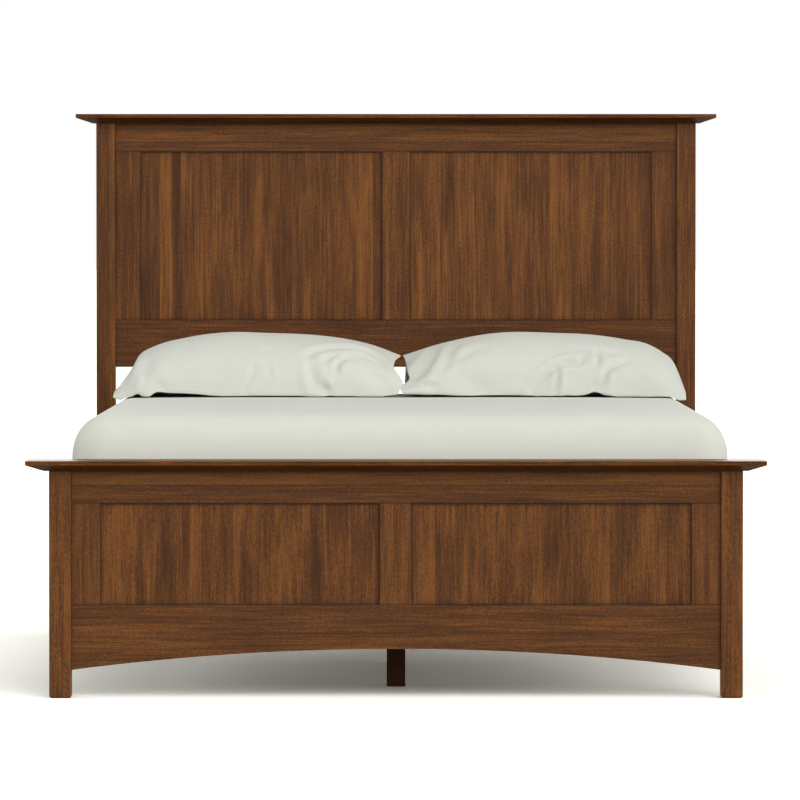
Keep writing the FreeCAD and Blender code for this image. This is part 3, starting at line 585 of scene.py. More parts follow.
def skin(name, grid, start_closed, end_closed, flip=False):
    """Makes a mesh of rings: grid[row, place round the ring], each ring closed on itself.

    A closed start or end gets one more vertex, at the middle of its ring.  The mesh has
    a UV map in metres, along the rows and round the rings.  A flip turns its faces round.
    """
    rows, count = grid.shape[:2]
    vertices = [grid.reshape(-1, 3)]
    here = np.arange(rows * count).reshape(rows, count)
    beside = np.roll(here, -1, axis=1)
    quads = np.stack([here[:-1], beside[:-1], beside[1:], here[1:]], axis=-1).reshape(-1, 4)
    way = -1 if flip else 1
    faces = quads[:, ::way].tolist()
    for closed, row, order in ((start_closed, 0, (0, 2, 1)), (end_closed, -1, (0, 1, 2))):
        if closed:
            middle = sum(len(block) for block in vertices)
            vertices.append(grid[row].mean(axis=0, keepdims=True))
            fan = np.stack([np.full(count, middle), here[row], beside[row]], axis=-1)
            faces += fan[:, order][:, ::way].tolist()
    mesh = bpy.data.meshes.new(name)
    points = np.concatenate(vertices)
    mesh.from_pydata(points.tolist(), [], faces)
    along = np.linalg.norm(np.diff(grid, axis=0), axis=2).mean(axis=1).cumsum()
    round_it = np.linalg.norm(np.roll(grid, -1, axis=1) - grid, axis=2).max(axis=0).cumsum()
    flat = np.zeros((len(points), 2))
    flat[: rows * count, 0] = np.tile(round_it, rows)
    flat[: rows * count, 1] = np.repeat(np.concatenate([[0], along]), count)
    loops = np.zeros(len(mesh.loops), np.int32)
    mesh.loops.foreach_get("vertex_index", loops)
    mesh.uv_layers.new(name="cloth").data.foreach_set("uv", flat[loops].ravel())
    mesh.shade_smooth()
    piece = bpy.data.objects.new(name, mesh)
    bpy.context.scene.collection.objects.link(piece)
    return piece


def outward(grid):
    """The unit direction out of a skin at each point: across its rows and its rings."""
    along = np.gradient(grid, axis=0)
    round_it = np.roll(grid, -1, axis=1) - np.roll(grid, 1, axis=1)
    normal = np.cross(round_it, along)
    length = np.linalg.norm(normal, axis=2, keepdims=True)
    return normal / np.maximum(length, 1e-12)


# ------------------------------------------------------------------ mattress and sheet

# Points round a corner and along a side of each ring
ARC_STEPS = 12
SIDE_STEPS = 70
# Rings up the wall, over the shoulder, over the top, under the mattress and on its tape
WALL_STEPS = 24
SHOULDER_STEPS = 14
TOP_STEPS = 44
UNDER_STEPS = 24
TAPE_STEPS = 9


def mattress_rings(low, high, settings, start, grow):
    """The rings of a mattress's skin from a start height up its sides and over its top.

    Each ring is a rectangle with rounded corners.  Up the sides it keeps its size, over
    the shoulder it draws in by a quarter of an ellipse, and over the top it shrinks to
    the middle.  The skin is grown outwards by the given distance.
    """
    inset, drop = settings.shoulder_width, settings.shoulder_height
    top = float(high[2]) - settings.crown
    side = np.linspace(start, top - drop, WALL_STEPS, endpoint=False)
    lean = np.linspace(0, math.pi / 2, SHOULDER_STEPS)
    inward = np.linspace(1, 0, TOP_STEPS, endpoint=False)[1:]
    insets = np.concatenate([0 * side, inset * (1 - np.cos(lean)), inset + 0 * inward])
    heights = np.concatenate(
        [side, top - drop + drop * np.sin(lean), top + settings.crown * (1 - inward**2)]
    )
    shares = np.concatenate([np.ones(len(side) + len(lean)), inward])
    middle = (low + high) / 2
    half = (high - low) / 2
    insets = insets[:, None, None]
    radius = np.maximum(settings.corner_radius - insets, 0.004)
    turn = np.linspace(0, math.pi / 2, ARC_STEPS)
    arcs = []
    for quarter, sign in enumerate([(1, 1), (-1, 1), (-1, -1), (1, -1)]):
        angle = turn + quarter * math.pi / 2
        circle = np.stack([np.cos(angle), np.sin(angle)], axis=-1)
        arcs.append((half[:2] - insets - radius) * sign + radius * circle)
    share = np.linspace(0, 1, SIDE_STEPS + 1)[1:-1, None]
    rings = []
    for arc, following in zip(arcs, arcs[1:] + arcs[:1]):
        rings += [arc, arc[:, -1:] * (1 - share) + following[:, :1] * share]
    flat = np.concatenate(rings, axis=1) * shares[:, None, None]
    grid = np.empty((*flat.shape[:2], 3))
    grid[..., :2] = flat + middle[:2]
    grid[..., 2] = heights[:, None]
    return grid + outward(grid) * grow


def settle(grid, settings):
    """Moves the upper part of a skin a little to the right, and out at both its sides."""
    low, high = corners("fitted_sheet")
    share = eased(grid[..., 2], float(low[2]), float(low[2] + high[2]) / 2)
    grid[..., 0] += share * (settings.lean + settings.spread * grid[..., 0] / float(high[0]))
    return grid


def sheet_drop(x, settings):
    """How far the sheet's top has curved down at a place across the bed, 10 mm at most."""
    reach = float(corners("fitted_sheet")[1][0]) + settings.spread
    outer = 1 - np.clip((reach - np.abs(x - settings.lean)) / settings.shoulder_width, 0, 1)
    return np.minimum(settings.shoulder_height * (1 - np.sqrt(1 - outer**2)), 0.01)


class BeddingSettings(bpy.types.PropertyGroup):
    """The shapes and colours of the mattress, the sheet and the pillows."""

    shoulder_width: bpy.props.FloatProperty(
        name="Shoulder width",
        description="How far the mattress's top edge curves in",
        default=0.078,
        unit="LENGTH",
    )
    shoulder_height: bpy.props.FloatProperty(
        name="Shoulder height",
        description="How far down the mattress's top edge curves",
        default=0.1,
        unit="LENGTH",
    )
    crown: bpy.props.FloatProperty(
        name="Crown",
        description="Rise of the mattress's top from its edge to its middle",
        default=0.002,
        unit="LENGTH",
    )
    corner_radius: bpy.props.FloatProperty(
        name="Corner radius",
        description="Radius of the mattress's upright corners",
        default=0.085,
        unit="LENGTH",
    )
    lean: bpy.props.FloatProperty(
        name="Lean to the right",
        description="How far the sheet's top lies to the right of the bed's middle",
        default=0.0092,
        unit="LENGTH",
    )
    spread: bpy.props.FloatProperty(
        name="Spread",
        description="How far the mattress bulges at each side, above the rails",
        default=0.0075,
        unit="LENGTH",
    )
    sheet: bpy.props.FloatVectorProperty(
        name="Sheet",
        description="Colour of the fitted sheet",
        default=(0.655, 0.668, 0.595),
        **COLOUR,
    )
    pillowcase: bpy.props.FloatVectorProperty(
        name="Pillowcases",
        description="Colour of the pillowcases",
        default=(0.6, 0.61, 0.543),
        **COLOUR,
    )
    ticking: bpy.props.FloatVectorProperty(
        name="Ticking",
        description="Colour of the mattress's cover",
        default=(0.78, 0.77, 0.73),
        **COLOUR,
    )
    pressure: bpy.props.FloatProperty(
        name="Pillow pressure",
        description="How hard the filling pushes the pillowcases out",
        default=3.0,
    )
    slack: bpy.props.FloatProperty(
        name="Slack",
        description="Share by which the pillowcases are larger than their filling",
        default=0.03,
        **SHARE,
    )
    most_movement: bpy.props.FloatProperty(
        name="Most movement",
        description="Farthest that the filling may push a point of the pillowcase",
        default=0.024,
        unit="LENGTH",
    )


def cotton(name, colour, thread, crumple):
    """Woven cotton: crossed threads on the UV map, and a faint crumple over the cloth whose
    hollows are painted a little darker as shade.
    """
    finish = Finish.surface(name, Specular_IOR_Level=0.15, Sheen_Weight=0.08, Sheen_Roughness=0.5)
    map_point = finish.node("ShaderNodeUVMap", {"uv_map": "cloth"}, {})
    across = finish.node("ShaderNodeSeparateXYZ", {}, {0: map_point}, "X")
    along = finish.node("ShaderNodeSeparateXYZ", {}, {0: map_point}, "Y")
    pace = 2 * math.pi / thread
    weave = (across * pace).math("SINE") * (along * pace).math("SINE")
    x, y, z = finish.place()
    soft = finish.noise(x * 16, y * 16, z * 16, detail=4, roughness=0.55)
    slub = finish.noise(across * 700, along * 60, across * 0)
    # Painted shade: the colour is a little darker in the crumple's hollows.
    tint_with_painted_hollow_shade = finish.mix(soft, tuple(c * 0.965 for c in colour), colour)
    thread_tint = (slub - 0.5) * 0.06 + weave * 0.015 + 0.985
    tint = finish.mix(1.0, tint_with_painted_hollow_shade, finish.grey(thread_tint), blend="MULTIPLY")
    weave_bump = finish.bump(weave, thread * 0.12, 0.5)
    bump = finish.bump(soft, crumple, normal=weave_bump)
    roughness = (slub - 0.5) * 0.1 + 0.86
    return finish.finish(Base_Color=tint, Roughness=roughness, Normal=bump)


def place_cloth(piece, material, node, body):
    """Gives a cloth piece its finish, and puts it in its CAD node's place."""
    piece.data.materials.append(material)
    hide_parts(node)
    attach(piece, body)


class MakeMattress(bpy.types.Operator):
    """Makes the mattress: a ticking cover with taped edges."""

    bl_idname = "bed.make_mattress"
    bl_label = "Make the Mattress"

    def execute(self, context):
        settings = context.scene.bed_bedding
        low, high = corners("mattress")
        shrink = 4.5 * MILLIMETRE  # leaves room for the sheet
        tape = 4 * MILLIMETRE
        upper = mattress_rings(low, high, settings, float(low[2]) + 2 * tape + shrink, -shrink)
        under = self.under_rings(upper[0], float(low[2]), tape)
        grid = settle(np.concatenate([under, upper]), settings)
        piece = skin("mattress_cover", grid, True, True)
        place_cloth(piece, self.ticking(settings), "mattress", "mattress")
        return {"FINISHED"}

    def under_rings(self, edge, floor, tape):
        """The rings under a mattress: a flat underside, then half a turn round its tape.

        On the flat each ring is the edge's ring at a share of its size, and round the
        tape it is the edge's ring moved in by a cosine and up by a sine.
        """
        middle = edge.mean(axis=0)
        shares = np.append(np.linspace(0.06, 0.97, UNDER_STEPS), 0.985)[:, None, None]
        flat = middle + (edge - middle) * shares
        flat[..., 2] = floor + tape * 0.6
        out = (edge - middle) * (1, 1, 0)
        out /= np.linalg.norm(out, axis=1, keepdims=True)
        turn = np.linspace(-math.pi / 2, math.pi / 2, TAPE_STEPS)[:, None]
        border = edge - out * tape * (1 - 0.75 * np.cos(turn))[..., None]
        border[..., 2] = floor + tape * (1 + np.sin(turn))
        return np.concatenate([flat, border])

    def ticking(self, settings):
        """Knitted ticking: fine diamond quilting under a small knit."""
        colour = tuple(settings.ticking)
        finish = Finish.surface("ticking", Specular_IOR_Level=0.2)
        x, y, z = finish.place()
        pace = 2 * math.pi / 0.09
        first = ((x + y) * pace).math("SINE").math("ABSOLUTE")
        second = ((x - y) * pace).math("SINE").math("ABSOLUTE")
        quilt = first.math("MINIMUM", second).step(0.0, 0.35)
        knit = finish.noise(x * 900, y * 900, z * 900)
        tint = finish.mix(knit, tuple(c * 0.9 for c in colour), colour)
        tint = finish.mix(quilt, tuple(c * 0.82 for c in colour), tint)
        bump = finish.bump(quilt + knit * 0.08, 0.002)
        return finish.finish(Base_Color=tint, Roughness=knit * 0.1 + 0.8, Normal=bump)


class MakeSheet(bpy.types.Operator):
    """Makes the fitted sheet, drawn tight over the mattress."""

    bl_idname = "bed.make_sheet"
    bl_label = "Make the Fitted Sheet"

    def execute(self, context):
        settings = context.scene.bed_bedding
        low, high = corners("fitted_sheet")
        grid = mattress_rings(low, high, settings, float(low[2]), 0)
        grid = grid + outward(grid) * self.push(grid, low, high)[..., None]
        piece = skin("fitted_sheet_cloth", settle(grid, settings), False, True)
        shell = piece.modifiers.new("cloth", "SOLIDIFY")
        shell.thickness = 0.6 * MILLIMETRE
        shell.offset = -1
        place_cloth(
            piece,
            cotton("sheet_cotton", tuple(settings.sheet), 0.0012, 0.0015),
            "fitted_sheet",
            "mattress",
        )
        return {"FINISHED"}

    def push(self, grid, low, high):
        """How far the sheet stands off the mattress's form at each of its points.

        Low down it gathers, as an uneven sine round the hem, and is drawn in by its
        elastic; near the corners it drags in ripples; over the top it is a little uneven.
        """
        middle = (low + high) / 2
        up = grid[..., 2] - float(low[2])
        rise = float(high[2] - low[2])
        reach_x = np.abs(grid[..., 0] - middle[0]) / float(high[0] - middle[0])
        reach_y = np.abs(grid[..., 1] - middle[1]) / float(high[1] - middle[1])
        near_corner = eased(np.minimum(reach_x, reach_y), 0.72, 0.97)
        low_down = 1 - eased(up, 0.0, rise * 0.75)
        girth = np.linalg.norm(np.roll(grid[0], -1, axis=0) - grid[0], axis=1).cumsum()
        gathers = np.sin(girth[None, :] * 78 + 2.2 * np.sin(girth[None, :] * 9)) * low_down
        drag = ripples(girth[None, :] * 22 + up * 30, up * 8, 5, seed=4) * near_corner
        soft = ripples(grid[..., 0] * 7, grid[..., 1] * 5, 7, seed=9)
        flat_top = eased(up, rise * 0.9, rise)
        push = -0.0009 + gathers * 0.0009 - 0.001 * low_down**2
        push = push + drag * 0.0011 * (1 - flat_top) + soft * 0.0006 * flat_top
        return np.clip(push, -0.0034, 0.0004)


# ------------------------------------------------------------------ pillows

# Rings along a pillow and points round it, before they are doubled
PILLOW_RINGS = 124
PILLOW_ROUND = 100
CREASE_STEPS = 40
FILLING_FRAMES = 20
# The power that rounds a section's upper half, and the radius that turns an angle round
# the front into a distance over it
FULLNESS = 0.86
GIRTH_RADIUS = 0.12
# The front draws back to the mouth over this length, eased in.
TUCK_LENGTH = 0.2
TUCK_EASE = 0.012


class PillowShape:
    """A pillow in its case, lying along the bed's head with its open end to the middle.

    A point of its skin is given by its share of the way along, from 0 at the closed end
    to 1 at the open one, and by its turn round the pillow, from 0 at the front, up over
    the top to half a turn at the back, and round underneath.  A section's depth is a
    power of the turn's cosine and its height a power of its sine: low powers above the
    edge, where it bulges, and high ones below, where it turns in and lies on the sheet.
    """

    def __init__(self, outer, inner, front, back, rest, lines, settings):
        self.outer, self.inner = outer, inner
        self.settings = settings
        self.middle, self.half_depth = (front + back) / 2, (back - front) / 2
        self.rest = rest
        self.lines = lines

    def levels(self, share):
        """The top, the edge and the lowest level of the section at a share."""
        top = self.rest + curve_through(self.lines["top"], share) * MILLIMETRE
        lift = curve_through(self.lines["edge"], share) * MILLIMETRE
        edge = self.rest + lift
        return top, edge, np.minimum(self.rest - 0.15 * lift, edge - MILLIMETRE)

    def keep_up(self, grid):
        """Keeps a skin on the sheet, which curves down towards the bed's side."""
        drop = sheet_drop(grid[..., 0], self.settings)
        grid[..., 2] = np.maximum(grid[..., 2], self.rest - drop)
        return grid

    def skin(self, share, turn, inset):
        """Where the skin is, its sections drawn in towards their middles by an inset."""
        top, edge, bottom = self.levels(share)
        cosine, sine = np.cos(turn), np.sin(turn)
        depth = self.half_depth * curve_through(self.lines["depth"], share)
        reach = np.where(sine > 0, top - edge, edge - bottom)
        y = -np.sign(cosine) * np.abs(cosine) ** np.where(sine > 0, 0.8, 4) * depth
        length = np.abs(self.inner - self.outer)
        beyond = TUCK_LENGTH * np.clip(sine, 0, 1) - length * (1 - share)
        beyond = (beyond + np.hypot(beyond, TUCK_EASE)) / 2 - TUCK_EASE / 4
        y = y + self.lines["tuck"] * np.clip(beyond, 0, 1) * np.clip(cosine, 0, 1) ** 0.6
        z = np.sign(sine) * np.abs(sine) ** np.where(sine > 0, FULLNESS, 1.3) * reach
        high, low = self.lines["waist"]
        waist = high + (low - high) * np.abs(cosine) ** 1.5
        waist = waist * MILLIMETRE * (1 - eased(share, 0.0, 0.12))
        mouth = curve_through(self.lines["mouth"], np.degrees(turn) % 360) * MILLIMETRE
        x = self.outer + (self.inner - self.outer) * share
        x = x + np.sign(self.inner - self.outer) * waist + mouth * eased(share, 0.86, 1.0)
        height = np.where(sine > 0, edge + z * (1 - inset) + (top - edge) * 0.4 * inset, edge + z)
        return self.keep_up(np.stack([x, self.middle + y * (1 - inset), height], axis=-1))

    def grid(self, along, count, shrink):
        """The skin's rings, from the closed end to the mouth and in under its lip."""
        share = (1 - np.cos(np.linspace(0.08, math.pi * 0.94, along))) / 2
        share = (share - share[0]) / (share[-1] - share[0])
        lip = np.array([[1.0, 0.04], [0.985, 0.06], [0.955, 0.08], [0.93, 0.12]])
        core = np.array([[0.925, 0.3], [0.925, 0.55], [0.925, 0.8], [0.925, 0.94]])
        self.places = np.concatenate([share, lip[:, 0], core[:, 0]])
        insets = np.concatenate([shrink * np.sin(share * math.pi), lip[:, 1], core[:, 1]])
        self.turns = np.linspace(0, 2 * math.pi, count, endpoint=False)
        return self.skin(self.places[:, None], self.turns[None, :], insets[:, None])

    def girth(self, x, z):
        """How far round the front of the skin a point of the front view lies, in metres."""
        share = (x - self.outer) / (self.inner - self.outer)
        top, edge = self.levels(np.clip(share, 0, 1))[:2]
        above = np.clip((z - edge) / (top - edge), 0, 1) ** (1 / FULLNESS)
        return np.arcsin(above) * GIRTH_RADIUS


def doubled(grid):
    """A skin with a ring between every two rings and a point between every two points.

    A new point lies 9/16 of the way to each of its two neighbours, less 1/16 of each of
    the two beyond them, so the surface stays smooth.
    """
    before, after, beyond = (np.roll(grid, shift, axis=1) for shift in (1, -1, -2))
    between = (9 * (grid + after) - before - beyond) / 16
    wide = np.stack([grid, between], axis=2).reshape(len(grid), -1, 3)
    padded = np.concatenate([wide[:1], wide, wide[-1:]])
    middle = (9 * (padded[1:-2] + padded[2:-1]) - padded[:-3] - padded[3:]) / 16
    made = np.empty((2 * len(wide) - 1, *wide.shape[1:]))
    made[::2] = wide
    made[1::2] = middle
    return made


def crease_depths(x, girth, shape):
    """How far the skin sinks at each point for the creases that cross it.

    A crease is a groove with a bell-shaped section, and a lower ridge on each side; it
    fades at both its ends.
    """
    sink = np.zeros(x.shape)
    for depth, width, points in shape.lines["creases"]:
        points = np.array(points, float)
        order = np.arange(len(points))
        steps = np.linspace(0, len(points) - 1, CREASE_STEPS)
        line_x = curve_through(np.stack([order, points[:, 0]], axis=1), steps) * MILLIMETRE
        line_z = curve_through(np.stack([order, points[:, 1]], axis=1), steps) * MILLIMETRE
        line_girth = shape.girth(line_x, line_z)
        apart = np.hypot(x[..., None] - line_x, girth[..., None] - line_girth)
        nearest = apart.argmin(axis=-1)
        off = apart.min(axis=-1) / (width * MILLIMETRE)
        fade = np.sin(math.pi * (nearest + 0.5) / CREASE_STEPS) ** 0.5
        groove = np.exp(-(off**2)) - 0.55 * np.exp(-((off - 1.9) ** 2))
        sink += depth * MILLIMETRE * fade * groove
    return sink


def read_points(mesh):
    """A mesh's vertices as an array of three columns."""
    points = np.zeros(len(mesh.vertices) * 3)
    mesh.vertices.foreach_get("co", points)
    return points.reshape(-1, 3)


def fill_out(piece, settings, held):
    """Lets the filling push a pillowcase out: pressure on slack cloth, and no gravity.

    The held vertices stay where they are, and no other moves farther than the most
    that the settings allow.  Gives the places of the vertices after it.
    """
    start = read_points(piece.data)
    group = piece.vertex_groups.new(name="held")
    group.add(np.flatnonzero(held).tolist(), 1.0, "REPLACE")
    cloth = piece.modifiers.new("filling", "CLOTH").settings
    cloth.use_pressure = True
    cloth.uniform_pressure_force = settings.pressure
    cloth.effector_weights.gravity = 0
    cloth.shrink_min = -settings.slack
    cloth.tension_stiffness = 12
    cloth.compression_stiffness = 12
    cloth.bending_stiffness = 0.4
    cloth.mass = 0.25
    cloth.quality = 5
    cloth.vertex_group_mass = group.name
    for number in range(1, FILLING_FRAMES + 1):
        bpy.context.scene.frame_set(number)
    shaped = piece.evaluated_get(bpy.context.evaluated_depsgraph_get())
    move = read_points(shaped.data) - start
    bpy.context.scene.frame_set(1)
    length = np.linalg.norm(move, axis=1, keepdims=True)
    most = settings.most_movement
    return start + move * most * np.tanh(length / most) / np.maximum(length, 1e-9)


# A pillow's lines: along its length, the height of its top and the lift of its edge off
# the sheet in millimetres, and its share of the full depth; how steeply its front draws
# back to the mouth; how far its closed end draws in at the top and at the edge, in
# millimetres; round the mouth, by degrees of turn, how far the lip stands out to the
# right; and its creases as depth, width and points of the front view, in millimetres
# from the bed's middle and above the floor.
LEFT_PILLOW = {
    "top": [
        (0, 22), (0.012, 32), (0.031, 53), (0.06, 84), (0.075, 103), (0.095, 115), (0.12, 124),
        (0.16, 136), (0.225, 148), (0.312, 160), (0.393, 166), (0.535, 164), (0.704, 158),
        (0.807, 148), (0.9, 132), (1, 103),
    ],
    "edge": [
        (0, -3), (0.02, -7), (0.05, -6), (0.07, 3), (0.088, 9), (0.11, 1), (0.125, 3),
        (0.145, 12), (0.19, 11), (0.3, 7), (0.34, 4), (0.5, 3.5), (0.8, 2.5), (0.95, 2), (1, 6),
    ],
    "depth": [(0, 0.95), (0.07, 0.99), (0.2, 0.97), (0.5, 0.98), (0.8, 0.97), (1, 0.97)],
    "tuck": 0.1,
    "waist": (8, 0),
    "mouth": [
        (0, -4), (15, 9), (24, 2), (40, -13), (60, -11), (80, 3), (90, 4), (110, -6),
        (140, -13), (180, -6), (270, -16), (340, -22), (360, -4),
    ],
    "creases": [
        (7, 9, [(-245, 762), (-197, 777), (-136, 783), (-86, 776), (-46, 756), (-26, 728)]),
        (6, 9, [(-200, 744), (-162, 763), (-121, 766), (-76, 756), (-38, 733)]),
        (8, 8, [(-156, 718), (-150, 743), (-131, 755), (-111, 753), (-88, 744)]),
        (5, 18, [(-100, 738), (-61, 715), (-10, 675)]),
        (6, 13, [(-222, 768), (-219, 730), (-209, 695), (-187, 675), (-172, 662)]),
        (5, 7, [(-192, 684), (-182, 676), (-170, 664)]),
        (2.5, 8, [(-396, 670), (-375, 715), (-368, 741)]),
        (2, 8, [(-333, 741), (-328, 695)]),
        (2, 8, [(-352, 772), (-338, 778), (-320, 777)]),
        (4, 22, [(-705, 672), (-665, 720), (-632, 748)]),
        (6, 8, [(-712, 682), (-698, 706), (-688, 734)]),
        (3, 14, [(-640, 706), (-600, 672)]),
    ],
}
RIGHT_PILLOW = {
    "top": [
        (0, 14), (0.012, 40), (0.035, 82), (0.08, 114), (0.12, 131), (0.214, 147),
        (0.323, 159), (0.451, 164), (0.647, 165), (0.688, 162), (0.789, 148), (0.904, 125),
        (1, 103),
    ],
    "edge": [
        (0, -9), (0.05, -9), (0.08, -4), (0.1, -1), (0.2, 0), (0.27, 3), (0.33, 13), (0.36, 6),
        (0.43, 4), (0.48, 3), (0.6, 5), (0.7, 3.5), (0.85, 6), (0.94, 8), (1, 9),
    ],
    "depth": [(0, 0.95), (0.07, 0.99), (0.2, 0.97), (0.5, 0.98), (0.8, 0.97), (1, 0.97)],
    "tuck": 0.5,
    "waist": (0, 5),
    "mouth": [
        (0, 2), (7, -6), (14, 12), (18, 18), (31, 14), (60, 9), (80, 4), (90, 3), (110, 6),
        (140, 10), (180, 8), (270, 16), (340, 24), (360, 2),
    ],
    "creases": [
        (
            9, 8,
            [(352, 672), (370, 695), (400, 723), (425, 738), (450, 746), (476, 744), (493, 760)],
        ),
        (7, 7, [(414, 662), (420, 690), (423, 715), (417, 730)]),
        (5, 8, [(523, 778), (529, 756), (526, 733)]),
        (8, 8, [(516, 668), (541, 695), (551, 725), (571, 738), (610, 751)]),
        (2.5, 12, [(606, 751), (652, 741), (712, 710)]),
        (2.5, 12, [(450, 778), (501, 779), (576, 767), (606, 752)]),
        (9, 17, [(34, 688), (80, 738), (106, 784)]),
        (7, 13, [(90, 706), (128, 745), (155, 788)]),
        (4, 12, [(118, 722), (164, 756), (204, 776), (236, 784)]),
        (4, 20, [(133, 722), (189, 697), (234, 675), (279, 660)]),
        (2, 10, [(270, 704), (345, 708)]),
        (6, 8, [(8, 678), (53, 687), (102, 684)]),
    ],
}


class MakePillows(bpy.types.Operator):
    """Makes the two pillows in their cases, filled out and creased."""

    bl_idname = "bed.make_pillows"
    bl_label = "Make the Pillows"

    def execute(self, context):
        settings = context.scene.bed_bedding
        material = cotton("pillowcase_cotton", tuple(settings.pillowcase), 0.0012, 0.004)
        self.make("left_pillow", 0, 1, LEFT_PILLOW, settings, material)
        self.make("right_pillow", 1, 0, RIGHT_PILLOW, settings, material)
        return {"FINISHED"}

    def make(self, node, outer, inner, lines, settings, material):
        """Makes one pillow, given which corner of its box is the outer and the inner one."""
        box = corners(node)
        rest = float(corners("fitted_sheet")[1][2]) + 0.4 * MILLIMETRE
        front, back = float(box[0][1]), float(box[1][1])
        ends = float(box[outer][0]), float(box[inner][0])
        shape = PillowShape(*ends, front, back, rest, lines, settings)
        grid = shape.grid(PILLOW_RINGS, PILLOW_ROUND, shrink=0.02)
        rings, count = grid.shape[:2]
        inside_out = outer == 0
        blank = skin(f"{node}_blank", grid, True, True, flip=inside_out)
        held = np.ones(len(blank.data.vertices), bool)
        free = (shape.places > 0.006) & (shape.places < 0.975)
        free[PILLOW_RINGS:] = False
        above = np.sin(shape.turns) > -0.01
        held[: rings * count] = ~(free[:, None] & above[None, :]).ravel()
        grid = fill_out(blank, settings, held)[: rings * count].reshape(rings, count, 3)
        bpy.data.objects.remove(blank)
        grid = self.creased(doubled(grid), shape, -1 if inside_out else 1)
        piece = skin(f"{node}case", grid, True, True, flip=inside_out)
        place_cloth(piece, material, node, node)

    def creased(self, grid, shape, facing):
        """The skin with its creases sunk in, and its underside kept on the sheet."""
        rings, count = grid.shape[:2]
        places = np.interp(np.arange(rings) / 2, np.arange(len(shape.places)), shape.places)
        turn = np.linspace(0, 2 * math.pi, count, endpoint=False)
        turn = (turn + math.pi) % (2 * math.pi) - math.pi
        girth = np.broadcast_to(turn * GIRTH_RADIUS, (rings, count))
        sink = crease_depths(grid[..., 0], girth, shape)
        sink[2 * PILLOW_RINGS - 3 :] = 0
        sink *= eased(places, 0.0, 0.02)[:, None]
        return shape.keep_up(grid - outward(grid) * facing * sink[..., None])


# ------------------------------------------------------------------ floor, light and camera


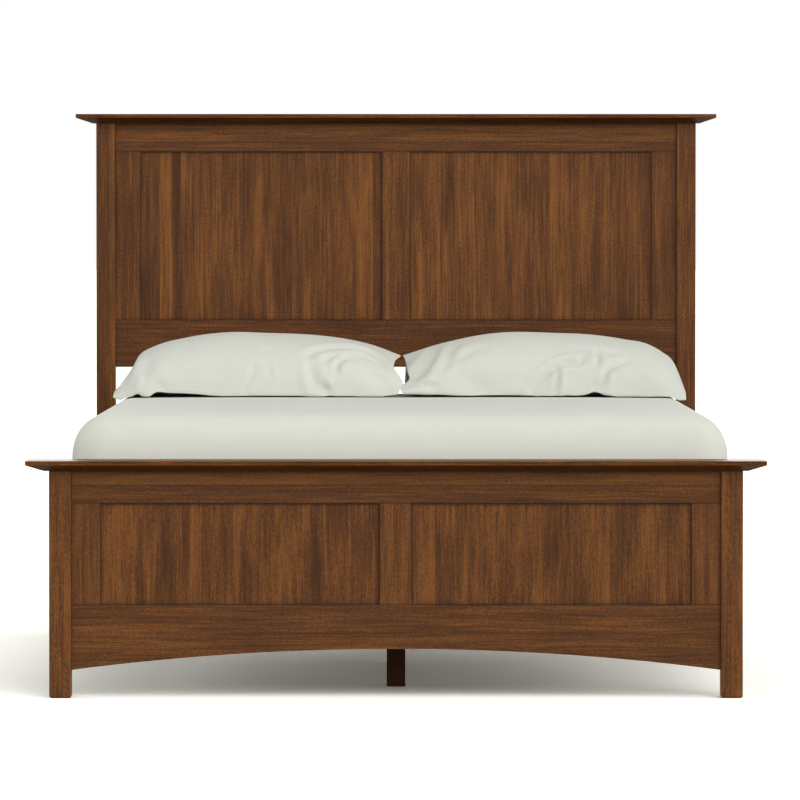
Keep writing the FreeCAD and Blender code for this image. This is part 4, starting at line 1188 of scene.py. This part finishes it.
class SetStage(bpy.types.Operator):
    """Makes the floor, the light and the camera."""

    bl_idname = "bed.set_stage"
    bl_label = "Set the Stage"

    def execute(self, context):
        settings = context.scene.bed_stage
        self.make_floor(settings)
        self.make_light(context.scene, settings)
        self.make_camera(context.scene, settings)
        return {"FINISHED"}

    def make_floor(self, settings):
        """A wide level floor whose colour is pale to the eye and plain to the bed."""
        reach = 4000.0
        mesh = bpy.data.meshes.new("floor")
        square = [(-reach, -reach, 0), (reach, -reach, 0), (reach, reach, 0), (-reach, reach, 0)]
        mesh.from_pydata(square, [], [(0, 1, 2, 3)])
        floor = bpy.data.objects.new("floor", mesh)
        bpy.context.scene.collection.objects.link(floor)
        finish = Finish.surface("floor", Specular_IOR_Level=0, Roughness=1)
        eye = seen_directly(finish)
        seen = (1.41, 1.41, 1.31)
        tint = finish.mix(eye, (settings.floor_bounce,) * 3, seen)
        mesh.materials.append(finish.finish(Base_Color=tint))

    def make_light(self, scene, settings):
        """A soft room, brighter low down than overhead, and wide lamps all round."""
        world = bpy.data.worlds.new("room")
        room = Finish(world, "World Output")
        eye = seen_directly(room)
        way = room.node("ShaderNodeTexCoord", {}, {}, "Generated")
        up = room.node("ShaderNodeSeparateXYZ", {}, {0: way}, "Z").clamped()
        light = (1 - up) ** 1.5 * (settings.low_sky - settings.high_sky) + settings.high_sky
        tint = room.mix(eye, room.grey(light), (1, 1, 1))
        room.finish(Surface=room.node("ShaderNodeBackground", {}, {"Color": tint, "Strength": 1}))
        scene.world = world
        self.lamp("lamp_front", strength=1.6, width=46, bearing=18, height=31)
        self.lamp("lamp_right", strength=1.1, width=40, bearing=78, height=22)
        self.lamp("lamp_left", strength=0.85, width=40, bearing=-84, height=22)
        self.lamp("lamp_back", strength=0.8, width=30, bearing=180, height=16)

    def lamp(self, name, strength, width, bearing, height):
        """A wide distant lamp: its bearing from the front towards the right, and its height.

        Its strength is in watts to the square metre, and its angles are in degrees.
        """
        light = bpy.data.lights.new(name, "SUN")
        light.energy = strength
        light.angle = math.radians(width)
        lamp = bpy.data.objects.new(name, light)
        lamp.rotation_euler = (math.radians(90 - height), 0, math.radians(bearing))
        bpy.context.scene.collection.objects.link(lamp)

    def make_camera(self, scene, settings):
        """The camera stands before the bed and looks a little down along its middle."""
        data = bpy.data.cameras.new("camera")
        camera = bpy.data.objects.new("camera", data)
        scene.collection.objects.link(camera)
        half_picture = 400
        data.sensor_width = 36
        data.lens = data.sensor_width * settings.focal_pixels / (2 * half_picture)
        data.clip_end = 200
        front = float(corners("footboard_left_post")[0][1])
        camera.location = (0, front - settings.camera_distance, settings.camera_height)
        pitch = math.atan((half_picture - settings.horizon) / settings.focal_pixels)
        yaw = math.atan((settings.middle_column - half_picture) / settings.focal_pixels)
        camera.rotation_euler = (math.pi / 2 - pitch, 0, yaw)
        scene.camera = camera
        scene.view_settings.view_transform = "Standard"


def seen_directly(finish):
    """1 where the eye, a reflection or a view through glass sees a surface, else 0."""
    kinds = ("Is Camera Ray", "Is Glossy Ray", "Is Transmission Ray")
    eye, glossy, through = (finish.node("ShaderNodeLightPath", {}, {}, kind) for kind in kinds)
    return (eye + glossy + through).clamped()


# ------------------------------------------------------------------ the add-on

SETTINGS = {
    "bed_wood": WoodSettings,
    "bed_bedding": BeddingSettings,
    "bed_stage": StageSettings,
}
OPERATORS = [
    StainFrame, FinishDeck, FinishFittings, MakeMattress, MakeSheet, MakePillows, SetStage
]


class BedPanel(bpy.types.Panel):
    """The bed's settings and the steps that make it."""

    bl_idname = "VIEW3D_PT_bed"
    bl_label = "Panel Bed"
    bl_space_type = "VIEW_3D"
    bl_region_type = "UI"
    bl_category = "Bed"

    def draw(self, context):
        for pointer, group in SETTINGS.items():
            box = self.layout.box()
            for name in group.__annotations__:
                box.prop(getattr(context.scene, pointer), name)
        for operator in OPERATORS:
            self.layout.operator(operator.bl_idname)


def register():
    for group in SETTINGS.values():
        bpy.utils.register_class(group)
    for pointer, group in SETTINGS.items():
        setattr(bpy.types.Scene, pointer, bpy.props.PointerProperty(type=group))
    for made in [*OPERATORS, BedPanel]:
        bpy.utils.register_class(made)


def unregister():
    for made in [BedPanel, *reversed(OPERATORS)]:
        bpy.utils.unregister_class(made)
    for pointer in SETTINGS:
        delattr(bpy.types.Scene, pointer)
    for group in SETTINGS.values():
        bpy.utils.unregister_class(group)


def main():
    register()
    for operator in OPERATORS:
        group, name = operator.bl_idname.split(".")
        getattr(getattr(bpy.ops, group), name)()


if __name__ == "__main__":
    main()
